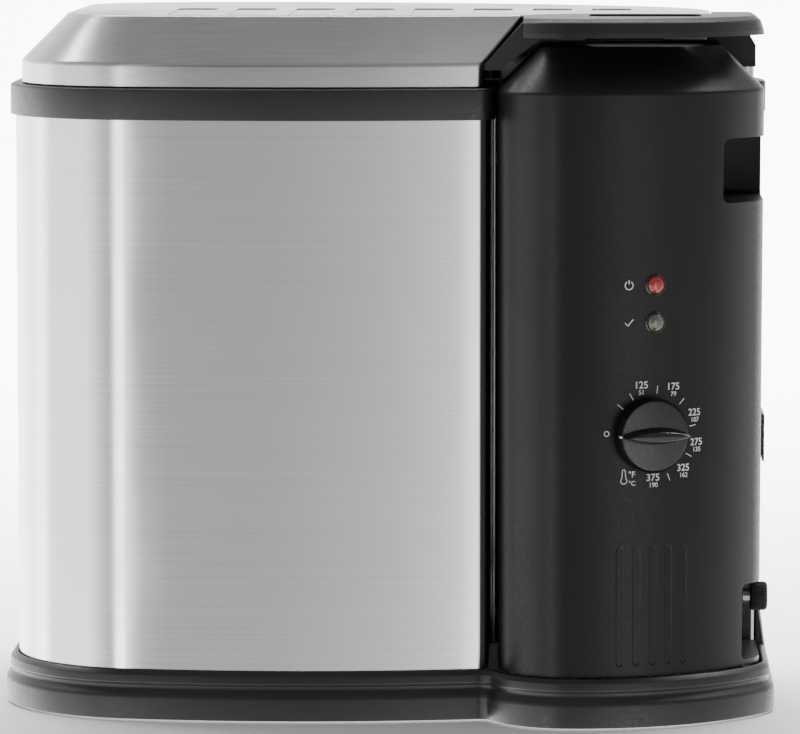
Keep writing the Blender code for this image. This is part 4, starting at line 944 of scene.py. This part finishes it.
def crossings(outline, axis, at):
    """Where a straight line at `at` on one axis crosses the closed outline, in order."""
    found = []
    for p, q in zip(outline, np.roll(outline, -1, 0)):
        if (p[axis] - at) * (q[axis] - at) < 0:
            t = (at - p[axis]) / (q[axis] - p[axis])
            found.append(float(p[1 - axis] + t * (q[1 - axis] - p[1 - axis])))
    return sorted(found)


def floor_wires(outline, floor, wire):
    made = []
    low, high = outline.min(0), outline.max(0)
    for axis, count in ((0, 15), (1, 11)):
        for at in np.linspace(low[axis], high[axis], count + 2)[1:-1]:
            ends = crossings(outline, axis, at)
            for start, end in zip(ends[::2], ends[1::2]):
                level = floor + wire * (1.6 if axis else 0)
                points = [(at, v, level) if axis == 0 else (v, at, level) for v in (start, end)]
                made.append(swept("cross", points, wire * 0.8, sides=6))
    return made


def bail():
    """The basket's lifting bail, folded down."""
    low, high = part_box("basket_bail")
    radius, height = (high.z - low.z) / 2, (high.z + low.z) / 2
    pivot, reach = high.x - radius, low.x + radius
    front, rear = low.y, high.y
    route = [(pivot, front, height), (pivot, front + 0.008, height), (reach, front + 0.022, height),
             (reach, rear - 0.022, height), (pivot, rear - 0.008, height), (pivot, rear, height)]
    bar = swept("lifting_bail", rounded_path(route, 0.010, 8), radius, FINISHES["polished_steel"], 20)
    keep(bar, "basket_bail", "polished_steel", "basket_bail")


def element():
    """The heating element's sheath loop."""
    low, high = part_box("heating_element")
    radius, right, left = 0.0035, 0.122, 0.098
    level, front = low.z + radius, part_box("thermostat_probe")[0].y + 0.0022
    bends = [(right, 0.062), (-0.020, 0.120), (-0.155, 0.110), (-0.168, -0.085), (-0.110, -0.112),
             (0.014, -0.106), (0.016, 0.012), (left, 0.018)]
    corners = [(right, front, high.z), (right, front, level)]
    corners += [(x, y + SETBACK, level) for x, y in bends]
    corners += [(left, front, level), (left, front, high.z)]
    loop = swept("element_loop", rounded_path(corners, 0.024, 10), radius, FINISHES["element_sheath"], 18)
    keep(loop, "control_head", "element_sheath", "heating_element")


# ---------------------------------------------------------------- build

base_skirt()
steel_wall()
rim_band()
pot()
drain_parts()
control_housing()
knob()
lamps()
dial_print()
lid_cover()
handle()
basket()
bail()
element()


# ---------------------------------------------------------------- floor, light and camera

def floor():
    """A pale floor that turns up into a pale wall behind the object."""
    path = [(y, 0.0) for y in np.linspace(-6.0, 3.0, 10)]
    path += [tuple(p) for p in arc((3.0, 3.0), 3.0, -90, 0, 12)] + [(6.0, 9.0)]
    points = [(x, y, z) for x in (-9.0, 9.0) for y, z in path]
    count = len(path)
    faces = [(i, i + 1, count + i + 1, count + i) for i in range(count - 1)]
    finish = moulded("pale_floor", (0.88, 0.88, 0.88), 0.8, 30.0, 0.0001, 0.02, 0.03, 0.01)
    sheet = mesh_object("floor_sweep", points, faces, finish)
    sheet.visible_glossy = False


BRIGHTEST, OVERHEAD = 7.0, 0.40  # the surround's highest radiance, and its radiance overhead
# The surround's radiance by degrees from straight ahead towards the left.
ROUND = [(-180, 4.5), (-130, 3.2), (-105, 1.7), (-85, 1.1), (-60, 1.0), (-45, 1.2), (-36, 2.0),
         (-30, 3.0), (-26, 2.6), (-23, 1.4), (-19, 1.2), (-14, 1.0), (-9, 0.87), (0, 0.74), (5, 0.69),
         (20, 0.69), (25.5, 0.85), (27.5, 5.5), (32, 5.5), (36, 0.90), (41, 1.0), (49, 1.7), (58, 2.8),
         (96, 2.8), (107, 6.5), (124, 5.0), (146, 6.5), (180, 4.5)]


def sky():
    """A soft studio surround: bright behind and at the sides, a narrow strip light at the left, dim above."""
    world = bpy.data.worlds.new("studio")
    bpy.context.scene.world = world
    world.use_nodes = True
    tree = world.node_tree
    nodes, links = tree.nodes, tree.links
    axes = nodes.new("ShaderNodeSeparateXYZ")
    links.new(nodes.new("ShaderNodeTexCoord").outputs["Generated"], axes.inputs["Vector"])

    def maths(operation, *values):
        made = nodes.new("ShaderNodeMath")
        made.operation = operation
        for value, socket in zip(values, made.inputs):
            if isinstance(value, float):
                socket.default_value = value
            else:
                links.new(value, socket)
        return made.outputs[0]

    def spread(source, *span):
        made = nodes.new("ShaderNodeMapRange")
        for name, value in zip(("From Min", "From Max", "To Min", "To Max"), span):
            made.inputs[name].default_value = value
        links.new(source, made.inputs["Value"])
        return made.outputs[0]

    turn = maths("ARCTAN2", *(maths("MULTIPLY", axes.outputs[name], -1.0) for name in "XY"))
    bright = nodes.new("ShaderNodeValToRGB")
    stops = bright.color_ramp.elements
    while len(stops) < len(ROUND):
        stops.new(1.0)
    for stop, (azimuth, _) in zip(stops, ROUND):
        stop.position = (azimuth + 180) / 360
    for stop, (_, value) in zip(stops, ROUND):
        stop.color = (*[value / BRIGHTEST] * 3, 1.0)
    links.new(spread(turn, -pi, pi, 0.0, 1.0), bright.inputs["Fac"])
    lower = maths("MULTIPLY", bright.outputs["Color"], spread(axes.outputs["Z"], -0.30, 0.25, 1.38, 0.34))
    mix = nodes.new("ShaderNodeMix")
    links.new(spread(axes.outputs["Z"], 0.35, 0.80, 0.0, 1.0), mix.inputs["Factor"])
    links.new(lower, mix.inputs["A"])
    mix.inputs["B"].default_value = OVERHEAD / BRIGHTEST
    links.new(mix.outputs["Result"], nodes["Background"].inputs["Color"])
    nodes["Background"].inputs["Strength"].default_value = BRIGHTEST


def lamp(name, place, target, size, power):
    light = bpy.data.lights.new(name, "AREA")
    light.shape = "RECTANGLE"
    light.size, light.size_y = size
    light.energy = power
    obj = bpy.data.objects.new(name, light)
    obj.location = place
    obj.rotation_euler = (Vector(target) - Vector(place)).to_track_quat("-Z", "Y").to_euler()
    bpy.context.scene.collection.objects.link(obj)


def camera():
    data = bpy.data.cameras.new("camera")
    data.lens, data.sensor_width = 251.1, 36.0
    data.clip_end = 60.0
    obj = bpy.data.objects.new("camera", data)
    obj.location = (0.10075, -3.0 - 0.1465 + SETBACK, 0.481)
    obj.rotation_euler = (radians(90 - 5.46), 0.0, radians(1.753))
    bpy.context.scene.collection.objects.link(obj)
    bpy.context.scene.camera = obj


floor()
sky()
lamp("backdrop_light", (0.0, 1.2, 3.2), (0, 5.0, 1.2), (5.0, 1.5), 2500)
camera()
